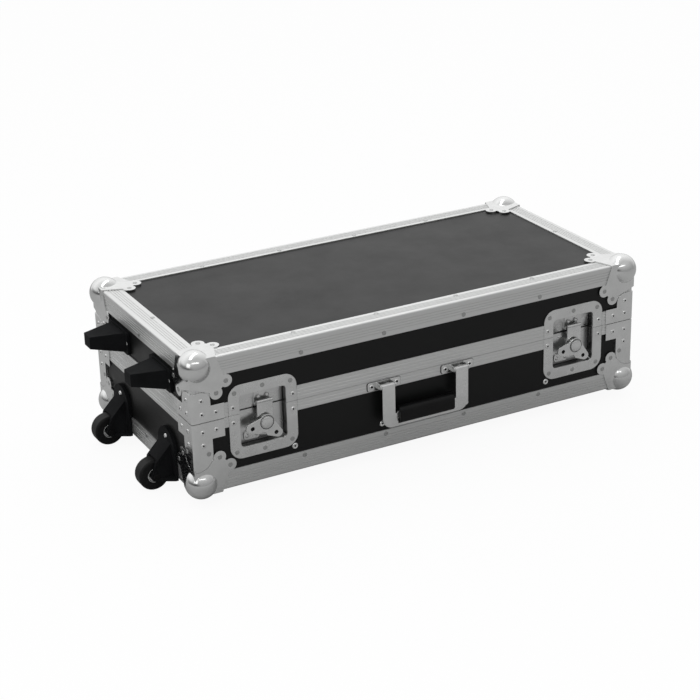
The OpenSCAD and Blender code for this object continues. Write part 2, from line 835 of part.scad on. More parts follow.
bail_low = pivot_z - bail_drop;
bail_front = pivot_out + knuckle_r;
grip_mid_z = bail_low + 4.5 + grip_h / 2;
core_h = 13;
bail_round = 16;
bail_bar = 4.2;
bail_step = 4.5;
bail_step_h = 21;
module bail() {
  arm_in = arm_pitch / 2 - arm_w / 2;
  arm_out = arm_pitch / 2 + arm_w / 2;
  foot_in = arm_in - bail_step;
  translate([0, 0, bail_front - bail_t]) linear_extrude(bail_t) {
    for (sx = [-1, 1]) mirror([sx > 0 ? 1 : 0, 0]) {
      translate([-arm_out, bail_low + bail_round]) square([arm_w, bail_drop - bail_round]);
      translate([-arm_out + bail_round, bail_low])
        square([arm_w - bail_round + bail_step, bail_round]);
      translate([-arm_out + bail_round, bail_low + bail_round]) intersection() {
        circle(bail_round);
        translate([-bail_round, -bail_round]) square(bail_round);
      }
      translate([-arm_in, bail_low]) square([bail_step, bail_step_h]);
    }
    translate([-foot_in, bail_low]) square([2 * foot_in, bail_bar]);
    translate([-foot_in - over, grip_mid_z - core_h / 2]) square([2 * (foot_in + over), core_h]);
  }
  for (sx = [-1, 1]) translate([sx * arm_pitch / 2 - arm_w / 2, pivot_z, pivot_out]) rotate([0, 90, 0])
    difference() {
      cylinder(r = knuckle_r, h = arm_w);
      translate([0, 0, -over]) cylinder(r = handle_pin_r + run_fit, h = arm_w + 2 * over);
    }
}
module handle_bail() placed() color(silver) on_front(0) translate([handle_x, 0, 0]) bail();

// the grip is drawn round its own axis and laid along x
module handle_grip() placed() color(black) on_front(0)
  translate([handle_x - grip_len / 2, grip_mid_z, grip_out - grip_t / 2]) rotate([0, 90, 0])
    difference() {
      linear_extrude(grip_len) rounded_rect(grip_t, grip_h, 0.42 * grip_t);
      translate([-(bail_front - (grip_out - grip_t / 2)), -core_h / 2, -over])
        cube([bail_t, core_h, grip_len + 2 * over]);
    }

// ---------- castors ----------
plate_low = -2;
cheek_in = wheel_w / 2 + 0.5;
cheek_out = cheek_in + cheek_t;
axle_head = 1.2;
axle_eye = 7;
wheel_clear = 1.4;
hood_drop = 18.5;
plate_screw = 13;
screw_boss = 4;
screw_seat = 1;
screw_head = 2.4;

// local frame: x across, y up, z out of the end
module castor_bracket() {
  top_mid = bracket_top - bracket_half;
  difference() {
    union() {
      linear_extrude(bracket_t) {
        translate([-bracket_half, plate_low]) square([2 * bracket_half, top_mid - plate_low]);
        translate([0, top_mid]) circle(bracket_half);
      }
      translate([0, 0, -angle_t]) linear_extrude(angle_t + over) intersection() {
        union() {
          translate([-bracket_half, 0]) square([2 * bracket_half, top_mid]);
          translate([0, top_mid]) circle(bracket_half);
        }
        translate([-bracket_half, angle_leg + seat_gap]) square([2 * bracket_half, bracket_top]);
      }
      // fork cheeks and the hood between them, drawn as (out, up)
      castor_slice(cheek_out, 2 * cheek_out) {
        polygon([[0, plate_low], [axle_out, axle_z - axle_eye],
          [axle_out + axle_eye - 1, axle_z], [axle_out - 1, axle_z + wheel_r - 0.5],
          [bracket_t, bracket_top - hood_drop], [0, bracket_top - hood_drop]]);
        translate([axle_out, axle_z]) circle(axle_eye);
      }
      // flared foot
      translate([0, plate_low, 0]) rotate([-90, 0, 0]) mirror([0, 1, 0]) linear_extrude(5)
        polygon([[-bracket_half, 0], [bracket_half, 0], [bracket_half, bracket_t],
          [cheek_out, axle_out - 4], [-cheek_out, axle_out - 4], [-bracket_half, bracket_t]]);
    }
    // room for the wheel
    translate([-cheek_in, axle_z, axle_out]) rotate([0, 90, 0])
      cylinder(r = wheel_r + wheel_clear, h = 2 * cheek_in);
    translate([-cheek_in, plate_low - over, axle_out - wheel_r - wheel_clear])
      cube([2 * cheek_in, axle_z - plate_low + over, wheel_d]);
    // axle bore
    translate([-cheek_out - over, axle_z, axle_out]) rotate([0, 90, 0])
      cylinder(r = axle_r + 0.05, h = 2 * (cheek_out + over));
    // shallow seat for the screw's head
    translate([0, bracket_top - plate_screw, bracket_t - screw_seat])
      cylinder(r = screw_boss + 0.4, h = wheel_d);
  }
}

// a prism of (out, up) shapes, w wide, centred on the castor
module castor_slice(half, w) translate([half, 0, 0]) rotate([0, -90, 0]) linear_extrude(w)
  children();

module at_castor(side) on_wheel_end(0) translate([-side * castor_y, 0, 0]) children();
module front_castor_bracket() placed() color(black) at_castor(-1) castor_bracket();
module rear_castor_bracket() placed() color(black) at_castor(1) castor_bracket();

module castor_axles() placed() color(steel) for (side = [-1, 1]) at_castor(side) {
  translate([-cheek_out - axle_head, axle_z, axle_out]) rotate([0, 90, 0])
    cylinder(r = axle_r, h = 2 * (cheek_out + axle_head));
  for (sx = [-1, 1]) translate([sx > 0 ? cheek_out : -cheek_out - axle_head, axle_z, axle_out])
    rotate([0, 90, 0]) cylinder(r = axle_r + 2, h = axle_head);
  translate([0, bracket_top - plate_screw, bracket_t - screw_seat])
    cylinder(r1 = screw_boss, r2 = 0.7 * screw_boss, h = screw_head);
}

hub_r = 10.5;
module wheel_frame(side) at_castor(side) translate([0, axle_z, axle_out]) rotate([0, 90, 0]) children();
module hub() rotate_extrude() difference() {
  translate([axle_r + run_fit, -wheel_w / 2]) square([hub_r - axle_r - run_fit, wheel_w]);
  for (s = [-1, 1]) translate([axle_r + 2, s * wheel_w / 2 - 1.5]) square([hub_r - axle_r - 3.4, 3]);
}
module tyre() rotate_extrude() {
  shoulder = 3.5;
  translate([hub_r, -wheel_w / 2 + shoulder]) square([wheel_r - hub_r, wheel_w - 2 * shoulder]);
  translate([hub_r, -wheel_w / 2]) square([wheel_r - hub_r - shoulder, wheel_w]);
  for (s = [-1, 1]) translate([wheel_r - shoulder, s * (wheel_w / 2 - shoulder)]) circle(shoulder);
}
module front_wheel_hub() placed() color(steel) wheel_frame(-1) hub();
module rear_wheel_hub() placed() color(steel) wheel_frame(1) hub();
module front_wheel_tyre() placed() color(black) wheel_frame(-1) tyre();
module rear_wheel_tyre() placed() color(black) wheel_frame(1) tyre();

// ---------- feet ----------
foot_in_x = 73;
foot_in_y = 63;
module rubber_feet() placed() color(black) both_y() translate([hx - foot_in_x, -hy + foot_in_y, -stand_h])
  rotate_extrude() difference() {
    polygon([[0, 0], [foot_d / 2 - 3, 0], [foot_d / 2 - 1.5, 2],
      [foot_d / 2, stand_h + angle_t], [0, stand_h + angle_t]]);
    translate([-over, -over]) square([6 + over, 8 + over]);
  }

wedge_z = 149;
wedge_t = 3;
wedge_h = 35;
wedge_half = 27;
wedge_tip = 11;
module wedge_foot() {
  difference() {
    union() {
      translate([0, 0, -angle_t]) linear_extrude(wedge_t + angle_t)
        translate([0, wedge_mid]) rounded_rect(wedge_plate, wedge_h, 5);
      intersection() {
        castor_slice(wedge_half, 2 * wedge_half) polygon([
          [0, wedge_mid - 15], [reach_left, wedge_mid - 5.4],
          [reach_left, wedge_mid + 13], [0, wedge_mid + 15]]);
        translate([0, wedge_mid + 20, 0]) rotate([90, 0, 0]) linear_extrude(40) polygon([
          [-wedge_half, 0], [wedge_half, 0], [wedge_tip, reach_left], [-wedge_tip, reach_left]]);
      }
    }
    for (sx = [-1, 1]) translate([sx * (wedge_plate / 2 - 5), wedge_mid + 1, wedge_t - 1])
      cylinder(r = 3.6, h = wedge_d);
  }
}
wedge_mid = case_hgt - 51;
wedge_d = 60;
module wedge_feet() placed() color(black) for (side = [-1, 1])
  on_wheel_end(0) translate([-side * wedge_y, 0, 0]) wedge_foot();

// ---------- hinges at the back ----------
leaf_t = 2;
leaf_h = 36;
knuckle_gap = 0.3;
knuckle_len = (hinge_len - 2 * knuckle_gap) / 3;
leaf_clear = hinge_r + 0.5;

module knuckle(len) difference() {
  union() {
    rotate([0, 90, 0]) cylinder(r = hinge_r, h = len);
    children();
  }
  translate([-over, 0, 0]) rotate([0, 90, 0]) cylinder(r = hinge_pin_r + run_fit, h = len + 2 * over);
}

// local frame: x along, y up from the axis, z out of the back
module base_leaf() {
  rim_low = base_hgt - base_rim_h - seat_gap;
  for (x0 = [-hinge_len / 2, hinge_len / 2 - knuckle_len])
    translate([x0, base_hgt, hinge_out]) knuckle(knuckle_len)
      translate([0, -leaf_clear - over, -hinge_out]) cube([knuckle_len, leaf_clear + over, leaf_t]);
  translate([-hinge_len / 2, base_hgt - leaf_h, 0]) cube([hinge_len, leaf_h - leaf_clear, leaf_t]);
  translate([-hinge_len / 2, base_hgt - leaf_h, -angle_t])
    cube([hinge_len, rim_low - (base_hgt - leaf_h), angle_t + over]);
}
module lid_leaf() {
  leaf_top = lid_rim_top + 14;
  translate([-knuckle_len / 2, base_hgt, hinge_out]) knuckle(knuckle_len)
    translate([0, 0, -hinge_out]) cube([knuckle_len, leaf_clear + over, leaf_t]);
  translate([-hinge_len / 2, base_hgt + leaf_clear, 0])
    cube([hinge_len, leaf_top - base_hgt - leaf_clear, leaf_t]);
  translate([-hinge_len / 2, lid_rim_top + seat_gap, -angle_t])
    cube([hinge_len, leaf_top - lid_rim_top - seat_gap, angle_t + over]);
}
module at_hinges() both_x() on_back(0) translate([hinge_x, 0, 0]) children();
module base_hinge_leaves() placed() color(steel) at_hinges() base_leaf();
module lid_hinge_leaves() placed() color(steel) at_hinges() lid_leaf();
module hinge_pins() placed() color(silver) at_hinges()
  translate([-hinge_len / 2, base_hgt, hinge_out]) rotate([0, 90, 0])
    cylinder(r = hinge_pin_r, h = hinge_len);

// ---------- pull-out trolley handle ----------
rod_z = 39;
rod_play = 0.3;
tube_ri = rod_r + rod_play;
tube_ro = tube_ri + 1.5;
rod_hold = 110;
rod_x0 = hx - wall_in - trolley_travel - rod_hold;
tube_x0 = rod_x0 - 25;
cleat_len = 30;
end_plate_half = rod_y + 25;
end_plate_low = angle_leg + 0.4;
end_plate_top = rod_z + 2 * rod_r + 1;
bar_o = end_plate_o + bar_gap;
bar_half = rod_y + 10;
bar_h = 18;

module rod_pair(x0, x1, r) both_y() translate([x0, rod_y, rod_z]) rotate([0, 90, 0])
  cylinder(r = r, h = x1 - x0);

module trolley_guide_tubes() placed() color(silver) difference() {
  rod_pair(tube_x0, hx - angle_t, tube_ro);
  rod_pair(tube_x0 - over, hx, tube_ri);
}
module trolley_end_plate() placed() color(black) difference() {
  translate([hx - angle_t, 0, (end_plate_low + end_plate_top) / 2]) rotate([90, 0, 90])
    linear_extrude(end_plate_o + angle_t)
      rounded_rect(2 * end_plate_half, end_plate_top - end_plate_low, 6);
  rod_pair(hx - 2 * angle_t, hx + 2 * bar_gap, rod_r + 0.5);
}
module tube_cleat() placed() color(birch) difference() {
  translate([tube_x0 + 5, -rod_y - 20, wall_in])
    cube([cleat_len, 2 * (rod_y + 20), rod_z + tube_ro - 1 - wall_in]);
  rod_pair(tube_x0, tube_x0 + 5 + cleat_len + over, tube_ro + 0.05);
}
module trolley_rods() placed() color(silver) rod_pair(rod_x0, hx + bar_o + bar_t / 2, rod_r);

button_w = 26;
button_h = 9;
button_deep = 6.2;
module trolley_grip() placed() color(black) difference() {
  union() {
    translate([hx + bar_o, 0, rod_z]) rotate([90, 0, 90]) linear_extrude(bar_t)
      rounded_rect(2 * bar_half, bar_h, 7);
    both_y() translate([hx + end_plate_o + 0.5, rod_y, rod_z]) rotate([0, 90, 0])
      cylinder(r = rod_r + 2.5, h = bar_gap);
  }
  rod_pair(hx - over, hx + bar_o + bar_t / 2, rod_r);
  translate([hx + bar_o + bar_t - button_deep - button_travel - seat_gap, 0, rod_z])
    rotate([90, 0, 90]) linear_extrude(bar_t)
      rounded_rect(button_w + 2 * seat_gap, button_h + 2 * seat_gap, 3.3);
}
module trolley_button() placed() color(foam_grey)
  translate([hx + bar_o + bar_t - button_deep - seat_gap, 0, rod_z]) rotate([90, 0, 90])
    linear_extrude(button_deep) rounded_rect(button_w, button_h, 3);

// ---------- tray and foam ----------
tray_play = 0.5;
floor_z = batten_z + batten_h;
deck_z = floor_z + floor_t;
divider_top = base_hgt - 8;
divider_end = rim_w + tray_play;
lap = 0.1;

module recess_room() both_x()
  translate([-hx + latch_in - recess_cut_w / 2, -hy, dish_z - recess_out_h / 2 - seat_gap])
    cube([recess_cut_w, recess_d + recess_t + seat_gap, case_hgt]);

module tray_battens() placed() color(birch) difference() {
  both_y() translate([-hx + wall_in, -hy + wall_in, batten_z])
    cube([2 * (hx - wall_in), batten_w, batten_h]);
  recess_room();
}
module tray_floor() placed() color(birch) difference() {
  translate([-hx + wall_in + tray_play, -hy + wall_in + tray_play, floor_z])
    cube([2 * (hx - wall_in - tray_play), 2 * (hy - wall_in - tray_play), floor_t]);
  recess_room();
}

divider_h = divider_top - deck_z;
module tray_long_divider() placed() color(laminate) difference() {
  translate([-hx + divider_end, -divider_t / 2, deck_z])
    cube([2 * (hx - divider_end), divider_t, divider_h]);
  for (sx = [-1, 1]) translate([sx * cross_x - divider_t / 2 - lap, -divider_t, deck_z + divider_h / 2])
    cube([divider_t + 2 * lap, 2 * divider_t, divider_h]);
}
module tray_cross_dividers() placed() color(laminate) for (sx = [-1, 1]) difference() {
  translate([sx * cross_x - divider_t / 2, -hy + divider_end, deck_z])
    cube([divider_t, 2 * (hy - divider_end), divider_h]);
  translate([sx * cross_x - divider_t, -divider_t / 2 - lap, deck_z - over])
    cube([2 * divider_t, divider_t + 2 * lap, divider_h / 2 + over]);
}

strip_top = base_web_z - rim_inner_h - tray_play;
// foam strips along the long walls, thinner behind the latch recesses
module foam_strip(x0, x1, y0) translate([x0, y0, deck_z])
  cube([x1 - x0, -hy + wall_in + strip_t - y0, strip_top - deck_z]);
module lane_foam() placed() color(foam_grey) {
  bay_in = cross_x + divider_t / 2 + lap;
  bay_end = hx - wall_in - tray_play;
  latch_x = hx - latch_in;
  side = recess_cut_w / 2 + over;
  both_y() foam_strip(-cross_x + divider_t / 2 + lap, cross_x - divider_t / 2 - lap, -hy + wall_in);
  mirror([0, 1, 0]) both_x() foam_strip(bay_in, bay_end, -hy + wall_in);
  both_x() {
    foam_strip(bay_in, latch_x - side, -hy + wall_in);
    foam_strip(latch_x - side + lap, latch_x + side - lap, -hy + recess_d + recess_t + over);
    foam_strip(latch_x + side, bay_end, -hy + wall_in);
  }
}
module lid_foam() placed() color(foam_grey)
  translate([-hx + wall_in + tray_play, -hy + wall_in + tray_play, case_hgt - wall_in - lid_foam_t])
    cube([2 * (hx - wall_in - tray_play), 2 * (hy - wall_in - tray_play), lid_foam_t]);

bottom_panel();
base_front_wall();
base_back_wall();
base_wheel_end_wall();
base_handle_end_wall();
tray_floor();
tray_battens();
tray_long_divider();
tray_cross_dividers();
lane_foam();
base_angles();
base_rim();
base_corner_front_left();
base_corner_front_right();
base_corner_back_left();
base_corner_back_right();
base_braces();
base_rivets();
tray_screws();
left_latch_dish();
right_latch_dish();
handle_brackets();
front_castor_bracket();
rear_castor_bracket();
castor_axles();
rubber_feet();
base_hinge_leaves();
hinge_pins();
trolley_guide_tubes();
trolley_end_plate();
tube_cleat();
left_latch_hook();
right_latch_hook();
left_latch_wing();
right_latch_wing();
handle_bail();
handle_grip();
front_wheel_hub();
rear_wheel_hub();
front_wheel_tyre();
rear_wheel_tyre();
trolley_rods();
trolley_grip();
trolley_button();
lid_top_panel();
lid_front_wall();
lid_back_wall();
lid_end_walls();
lid_angles();
lid_rim();
lid_corner_front_left();
lid_corner_front_right();
lid_corner_back_left();
lid_corner_back_right();
lid_braces();
lid_rivets();
latch_lid_dishes();
wedge_feet();
lid_hinge_leaves();
lid_foam();
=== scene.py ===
"""Looks of a flight case for compact discs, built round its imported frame.

Lengths in the tables are millimetres and angles are degrees, unless a comment says
otherwise. Everything that is built is in metres.
"""
import json
import math

import bmesh
import bpy
from mathutils import Matrix, Vector


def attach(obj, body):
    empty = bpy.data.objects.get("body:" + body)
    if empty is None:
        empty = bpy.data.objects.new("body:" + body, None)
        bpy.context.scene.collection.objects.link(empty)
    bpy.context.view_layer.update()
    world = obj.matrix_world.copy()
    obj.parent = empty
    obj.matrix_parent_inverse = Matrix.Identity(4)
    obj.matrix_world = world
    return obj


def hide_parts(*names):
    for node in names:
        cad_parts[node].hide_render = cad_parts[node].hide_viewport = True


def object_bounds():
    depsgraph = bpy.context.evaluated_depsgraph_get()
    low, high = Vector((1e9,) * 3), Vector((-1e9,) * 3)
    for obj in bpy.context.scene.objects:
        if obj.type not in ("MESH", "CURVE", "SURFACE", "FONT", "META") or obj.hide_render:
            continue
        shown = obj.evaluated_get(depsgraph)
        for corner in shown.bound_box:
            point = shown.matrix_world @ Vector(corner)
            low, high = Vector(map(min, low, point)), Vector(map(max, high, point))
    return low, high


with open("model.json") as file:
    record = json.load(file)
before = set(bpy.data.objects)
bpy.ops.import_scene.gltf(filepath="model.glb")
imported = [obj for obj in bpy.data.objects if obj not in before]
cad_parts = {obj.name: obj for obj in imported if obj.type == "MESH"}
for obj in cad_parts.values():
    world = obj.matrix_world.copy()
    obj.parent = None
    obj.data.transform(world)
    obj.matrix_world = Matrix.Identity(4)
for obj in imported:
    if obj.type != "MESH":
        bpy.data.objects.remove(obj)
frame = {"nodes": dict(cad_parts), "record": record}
nodes = frame["nodes"]
record = frame["record"]
body_of_node = {node: body for body, names in record["behaviour"]["bodies"].items()
                for node in names}
slot_of_node = {row["node"]: row["material_slot"] for row in record["subparts"]}
cad_lo, cad_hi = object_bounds()

MM = 0.001
FRONTWARD, BACKWARD, LEFTWARD = Vector((0, -1, 0)), Vector((0, 1, 0)), Vector((-1, 0, 0))

# the box over its profiles; SHIFT is the middle of its underside, in the frame
SHIFT = Vector((8.0, 5.5, 17.0))
HALF_LENGTH, HALF_WIDTH, HEIGHT, PARTING = 363.0, 175.0, 200.0, 108.0

# edge profile: the width of a leg, its grooves counted from the edge, and how far from
# a groove's middle its shade is full and gone
PROFILE_LEG, PROFILE_SLACK = 28.0, 0.3
FIRST_GROOVE, LAST_GROOVE, GROOVE_PITCH = 8.0, 20.0, 4.0
GROOVE_FULL, GROOVE_GONE = 0.45, 0.95

# latches: the dish's middle from the case's middle and below the parting, its recess,
# and how far the works sit to its right and below the parting
LATCH_X, DISH_DROP = 256.7, 12.0
RECESS_HALF, RECESS_DEPTH = (35.5, 39.0), 12.0
WORKS_OFF, ROTOR_DROP = 4.0, 21.0


def at(x, y, z):
    """A point of the box, in millimetres from the middle of its underside, in the frame."""
    return (Vector((x, y, z)) + SHIFT) * MM


def placed(name, data):
    """A new object of the scene for a mesh, a lamp or a camera."""
    item = bpy.data.objects.new(name, data)
    bpy.context.collection.objects.link(item)
    return item


# ---------------------------------------------------------------- camera
CAMERA_AT = (-1209.97, -2242.62, 1158.10)
CAMERA_YAW, CAMERA_PITCH, CAMERA_ROLL = 27.796, 23.033, -1.539
FOCAL_PIXELS, IMAGE_PIXELS, SENSOR_WIDTH = 1826.68, 700.0, 36.0


def photograph_camera():
    """The camera of the photograph, solved from points of the box."""
    yaw, pitch, roll = map(math.radians, (CAMERA_YAW, CAMERA_PITCH, CAMERA_ROLL))
    ahead = Vector((math.sin(yaw) * math.cos(pitch), math.cos(yaw) * math.cos(pitch),
                    -math.sin(pitch)))
    level = Vector((math.cos(yaw), -math.sin(yaw), 0.0))
    above = level.cross(ahead)
    right = level * math.cos(roll) + above * math.sin(roll)
    up = above * math.cos(roll) - level * math.sin(roll)
    data = bpy.data.cameras.new("photograph_view")
    data.sensor_width = SENSOR_WIDTH
    data.lens = FOCAL_PIXELS / IMAGE_PIXELS * SENSOR_WIDTH
    data.clip_end = 50.0
    camera = placed("photograph_view", data)
    place = Matrix((right, up, -ahead)).transposed().to_4x4()
    place.translation = at(*CAMERA_AT)
    camera.matrix_world = place
    bpy.context.scene.camera = camera


# ---------------------------------------------------------------- shader nodes
def feed(tree, source, target):
    """Gives an input a value, or links another node's output to it."""
    if isinstance(source, bpy.types.NodeSocket):
        tree.links.new(source, target)
    else:
        target.default_value = source


def node_in(tree, kind, inputs=None, **settings):
    """A new node with its settings and its inputs, which go by name or number."""
    node = tree.nodes.new(kind)
    for key, value in settings.items():
        setattr(node, key, value)
    for key, source in (inputs or {}).items():
        feed(tree, source, node.inputs[key])
    return node


def math_in(tree, operation, *terms, clamp=False):
    node = node_in(tree, "ShaderNodeMath", dict(enumerate(terms)),
                   operation=operation, use_clamp=clamp)
    return node.outputs[0]


def ramp(tree, value, start, end, at_start, at_end):
    """Takes a value from one range to another and holds it at both ends."""
    node = node_in(tree, "ShaderNodeMapRange",
                   {"Value": value, "From Min": start, "From Max": end,
                    "To Min": at_start, "To Max": at_end})
    return node.outputs[0]


def axes(tree, vector):
    """The three numbers of a vector, by the names X, Y and Z."""
    return node_in(tree, "ShaderNodeSeparateXYZ", {0: vector}).outputs


def blended(tree, factor, first, second):
    """A colour between two, each three numbers or another node's output."""
    first, second = (colour if isinstance(colour, bpy.types.NodeSocket) else (*colour, 1.0)
                     for colour in (first, second))
    node = node_in(tree, "ShaderNodeMix", {"Factor": factor, "A": first, "B": second},
                   data_type="RGBA")
    return node.outputs["Result"]


# ---------------------------------------------------------------- shared patterns
def pattern_group(name, inputs, result_name):
    """An empty group with a vector and some numbers going in, and one number coming out."""
    tree = bpy.data.node_groups.new(name, "ShaderNodeTree")
    tree.interface.new_socket(name="Vector", in_out="INPUT", socket_type="NodeSocketVector")
    for label, value in inputs.items():
        kind = "NodeSocketVector" if isinstance(value, tuple) else "NodeSocketFloat"
        socket = tree.interface.new_socket(name=label, in_out="INPUT", socket_type=kind)
        socket.default_value = value
    tree.interface.new_socket(name=result_name, in_out="OUTPUT", socket_type="NodeSocketFloat")
    given = tree.nodes.new("NodeGroupInput").outputs
    result = tree.nodes.new("NodeGroupOutput").inputs[result_name]
    return tree, given, result


def drifting_noise_group():
    """Soft noise between two values: patchy gloss, uneven colour, gentle dents."""
    tree, given, result = pattern_group(
        "drifting_noise", {"Stretch": (1, 1, 1), "Scale": 20.0, "Low": 0.0, "High": 1.0}, "Value")
    stretched = node_in(tree, "ShaderNodeVectorMath", {0: given["Vector"], 1: given["Stretch"]},
                        operation="MULTIPLY")
    noise = node_in(tree, "ShaderNodeTexNoise",
                    {"Vector": stretched.outputs[0], "Scale": given["Scale"],
                     "Detail": 5.0, "Roughness": 0.6})
    # noise seldom leaves the range from 0.3 to 0.7
    tree.links.new(ramp(tree, noise.outputs["Fac"], 0.3, 0.7, given["Low"], given["High"]), result)
    return tree


def scratch_group():
    """Thin, sparse scratches in two directions, as a mask."""
    thinness, patch_scale, patch_floor, patch_edge = 70.0, 7.0, 0.48, 6.0
    tree, given, result = pattern_group("fine_scratches", {"Scale": 60.0, "Amount": 0.5}, "Mask")
    directions = []
    for turn, stretch in ((0.35, (1.0, 14.0, 9.0)), (-0.9, (12.0, 1.0, 10.0))):
        turned = node_in(tree, "ShaderNodeMapping",
                         {"Vector": given["Vector"], "Rotation": (turn, turn * 0.6, turn),
                          "Scale": stretch})
        noise = node_in(tree, "ShaderNodeTexNoise",
                        {"Vector": turned.outputs[0], "Scale": given["Scale"],
                         "Detail": 2.0, "Roughness": 0.5, "Distortion": 0.4})
        # a scratch runs where the noise crosses its middle value
        off_line = math_in(tree, "ABSOLUTE",
                           math_in(tree, "SUBTRACT", noise.outputs["Fac"], 0.5))
        directions.append(math_in(tree, "SUBTRACT", 1.0,
                                  math_in(tree, "MULTIPLY", off_line, thinness), clamp=True))
    patches = node_in(tree, "ShaderNodeTexNoise",
                      {"Vector": given["Vector"], "Scale": patch_scale, "Detail": 2.0})
    where = math_in(tree, "MULTIPLY",
                    math_in(tree, "SUBTRACT", patches.outputs["Fac"], patch_floor),
                    patch_edge, clamp=True)
    sparse = math_in(tree, "MULTIPLY", math_in(tree, "MAXIMUM", *directions), where)
    tree.links.new(math_in(tree, "MULTIPLY", sparse, given["Amount"]), result)
    return tree


def pebble_group():
    """Fine pebbled grain of laminate, moulded plastic and foam, as a height."""
    tree, given, result = pattern_group("pebble_grain", {"Scale": 700.0}, "Height")
    cells = node_in(tree, "ShaderNodeTexVoronoi",
                    {"Vector": given["Vector"], "Scale": given["Scale"], "Smoothness": 0.6},
                    feature="SMOOTH_F1")
    fine = node_in(tree, "ShaderNodeTexNoise",
                   {"Vector": given["Vector"], "Detail": 3.0,
                    "Scale": math_in(tree, "MULTIPLY", given["Scale"], 0.6)})
    height = math_in(tree, "ADD", cells.outputs["Distance"],
                     math_in(tree, "MULTIPLY", fine.outputs["Fac"], 0.5))
    tree.links.new(height, result)
    return tree


DRIFT, SCRATCH, PEBBLE = drifting_noise_group(), scratch_group(), pebble_group()


# ---------------------------------------------------------------- finishes
class Finish:
    """A material on its way: its node tree, its surface and the object's coordinates."""

    def __init__(self, name, surface=None):
        self.material = bpy.data.materials.new(name)
        self.material.use_nodes = True
        self.tree = self.material.node_tree
        self.tree.nodes.clear()
        self.surface = node_in(self.tree, "ShaderNodeBsdfPrincipled", surface)
        node_in(self.tree, "ShaderNodeOutputMaterial", {"Surface": self.surface.outputs[0]})
        self.where = self.tree.nodes.new("ShaderNodeTexCoord").outputs["Object"]

    def pattern(self, group, **values):
        node = node_in(self.tree, "ShaderNodeGroup", node_tree=group)
        self.tree.links.new(self.where, node.inputs["Vector"])
        for key, value in values.items():
            node.inputs[key].default_value = value
        return node.outputs[0]

    def drift(self, scale, low=0.0, high=1.0, stretch=(1.0, 1.0, 1.0)):
        return self.pattern(DRIFT, Scale=scale, Low=low, High=high, Stretch=stretch)

    def pebbles(self, scale):
        return self.pattern(PEBBLE, Scale=scale)

    def colour(self, factor, first, second):
        """Sets the base colour between two, and returns it for a further layer."""
        tone = blended(self.tree, factor, first, second)
        self.tree.links.new(tone, self.surface.inputs["Base Color"])
        return tone

    def roughness(self, scale, low, high, scratches=None):
        """Patchy roughness. Scratches have a scale, an amount and what they add to it."""
        value = self.drift(scale, low, high)
        if scratches:
            scratch_scale, amount, added = scratches
            marks = self.pattern(SCRATCH, Scale=scratch_scale, Amount=amount)
            value = math_in(self.tree, "MULTIPLY_ADD", marks, added, value)
        self.tree.links.new(value, self.surface.inputs["Roughness"])

    def relief(self, height, strength, distance):
        """Small unevenness in the light only. The distance is in metres."""
        node = node_in(self.tree, "ShaderNodeBump",
                       {"Strength": strength, "Distance": distance, "Height": height})
        self.tree.links.new(node.outputs[0], self.surface.inputs["Normal"])


def laminate_finish():
    """Black laminate on the panels: pebbled, patchy in gloss, lightly scratched."""
    finish = Finish("black_laminate", {"Specular IOR Level": 0.25})
    finish.colour(finish.drift(9.0), (0.0042, 0.0044, 0.0044), (0.0058, 0.0060, 0.0060))
    finish.roughness(14.0, 0.36, 0.44, scratches=(30.0, 0.35, 0.2))
    finish.relief(finish.pebbles(900.0), 0.16, 0.0003)
    return finish.material


def across_leg(tree, place):
    """Distance from the box's edge across a profile's leg, and a mask of the bars at its ends."""
    insets = []
    for axis, half, middle in (("X", HALF_LENGTH, SHIFT.x), ("Y", HALF_WIDTH, SHIFT.y),
                               ("Z", HEIGHT / 2, SHIFT.z + HEIGHT / 2)):
        off_middle = math_in(tree, "ABSOLUTE", math_in(tree, "SUBTRACT", place[axis], middle * MM))
        insets.append(math_in(tree, "SUBTRACT", half * MM, off_middle))
    # of the three insets from the box's faces, the middle one runs across the leg
    low, high = math_in(tree, "MINIMUM", *insets[:2]), math_in(tree, "MAXIMUM", *insets[:2])
    across = math_in(tree, "MAXIMUM", low, math_in(tree, "MINIMUM", high, insets[2]))
    at_end = math_in(tree, "LESS_THAN", insets[0], (PROFILE_LEG + PROFILE_SLACK) * MM)
    return across, at_end


def groove_mask(tree, across):
    """1 in the profile's grooves, fading out at their edges."""
    fade = GROOVE_GONE - GROOVE_FULL
    off_groove = math_in(tree, "PINGPONG",
                         math_in(tree, "SUBTRACT", across, FIRST_GROOVE * MM),
                         GROOVE_PITCH / 2 * MM)
    groove = math_in(tree, "SUBTRACT", GROOVE_GONE / fade,
                     math_in(tree, "MULTIPLY", off_groove, 1.0 / (fade * MM)), clamp=True)
    inside = math_in(tree, "MULTIPLY",
                     math_in(tree, "GREATER_THAN", across, (FIRST_GROOVE - 1) * MM),
                     math_in(tree, "LESS_THAN", across, (LAST_GROOVE + 1) * MM))
    return math_in(tree, "MULTIPLY", groove, inside)


def profile_finish():
    """Anodised angle: fine lines along its length, whichever way the bar runs."""
    finish = Finish("anodised_profile", {"Metallic": 1.0})
    tree = finish.tree
    across, at_end = across_leg(tree, axes(tree, finish.where))
    groove = groove_mask(tree, across)
    lengthwise = finish.drift(14.0, stretch=(0.5, 60.0, 60.0))
    crosswise = finish.drift(14.0, stretch=(60.0, 0.5, 60.0))
    lines = math_in(tree, "ADD", math_in(tree, "MULTIPLY", crosswise, at_end),
                    math_in(tree, "MULTIPLY", lengthwise, math_in(tree, "SUBTRACT", 1.0, at_end)))
    drawn = finish.colour(lines, (0.715, 0.72, 0.715), (0.745, 0.75, 0.745))
    # painted shade: the grooves are drawn darker than the rest of the leg
    finish.colour(groove, drawn, (0.665, 0.67, 0.665))
    finish.roughness(16.0, 0.40, 0.48, scratches=(40.0, 0.5, -0.1))
    finish.relief(lines, 0.05, 0.0002)
    return finish.material


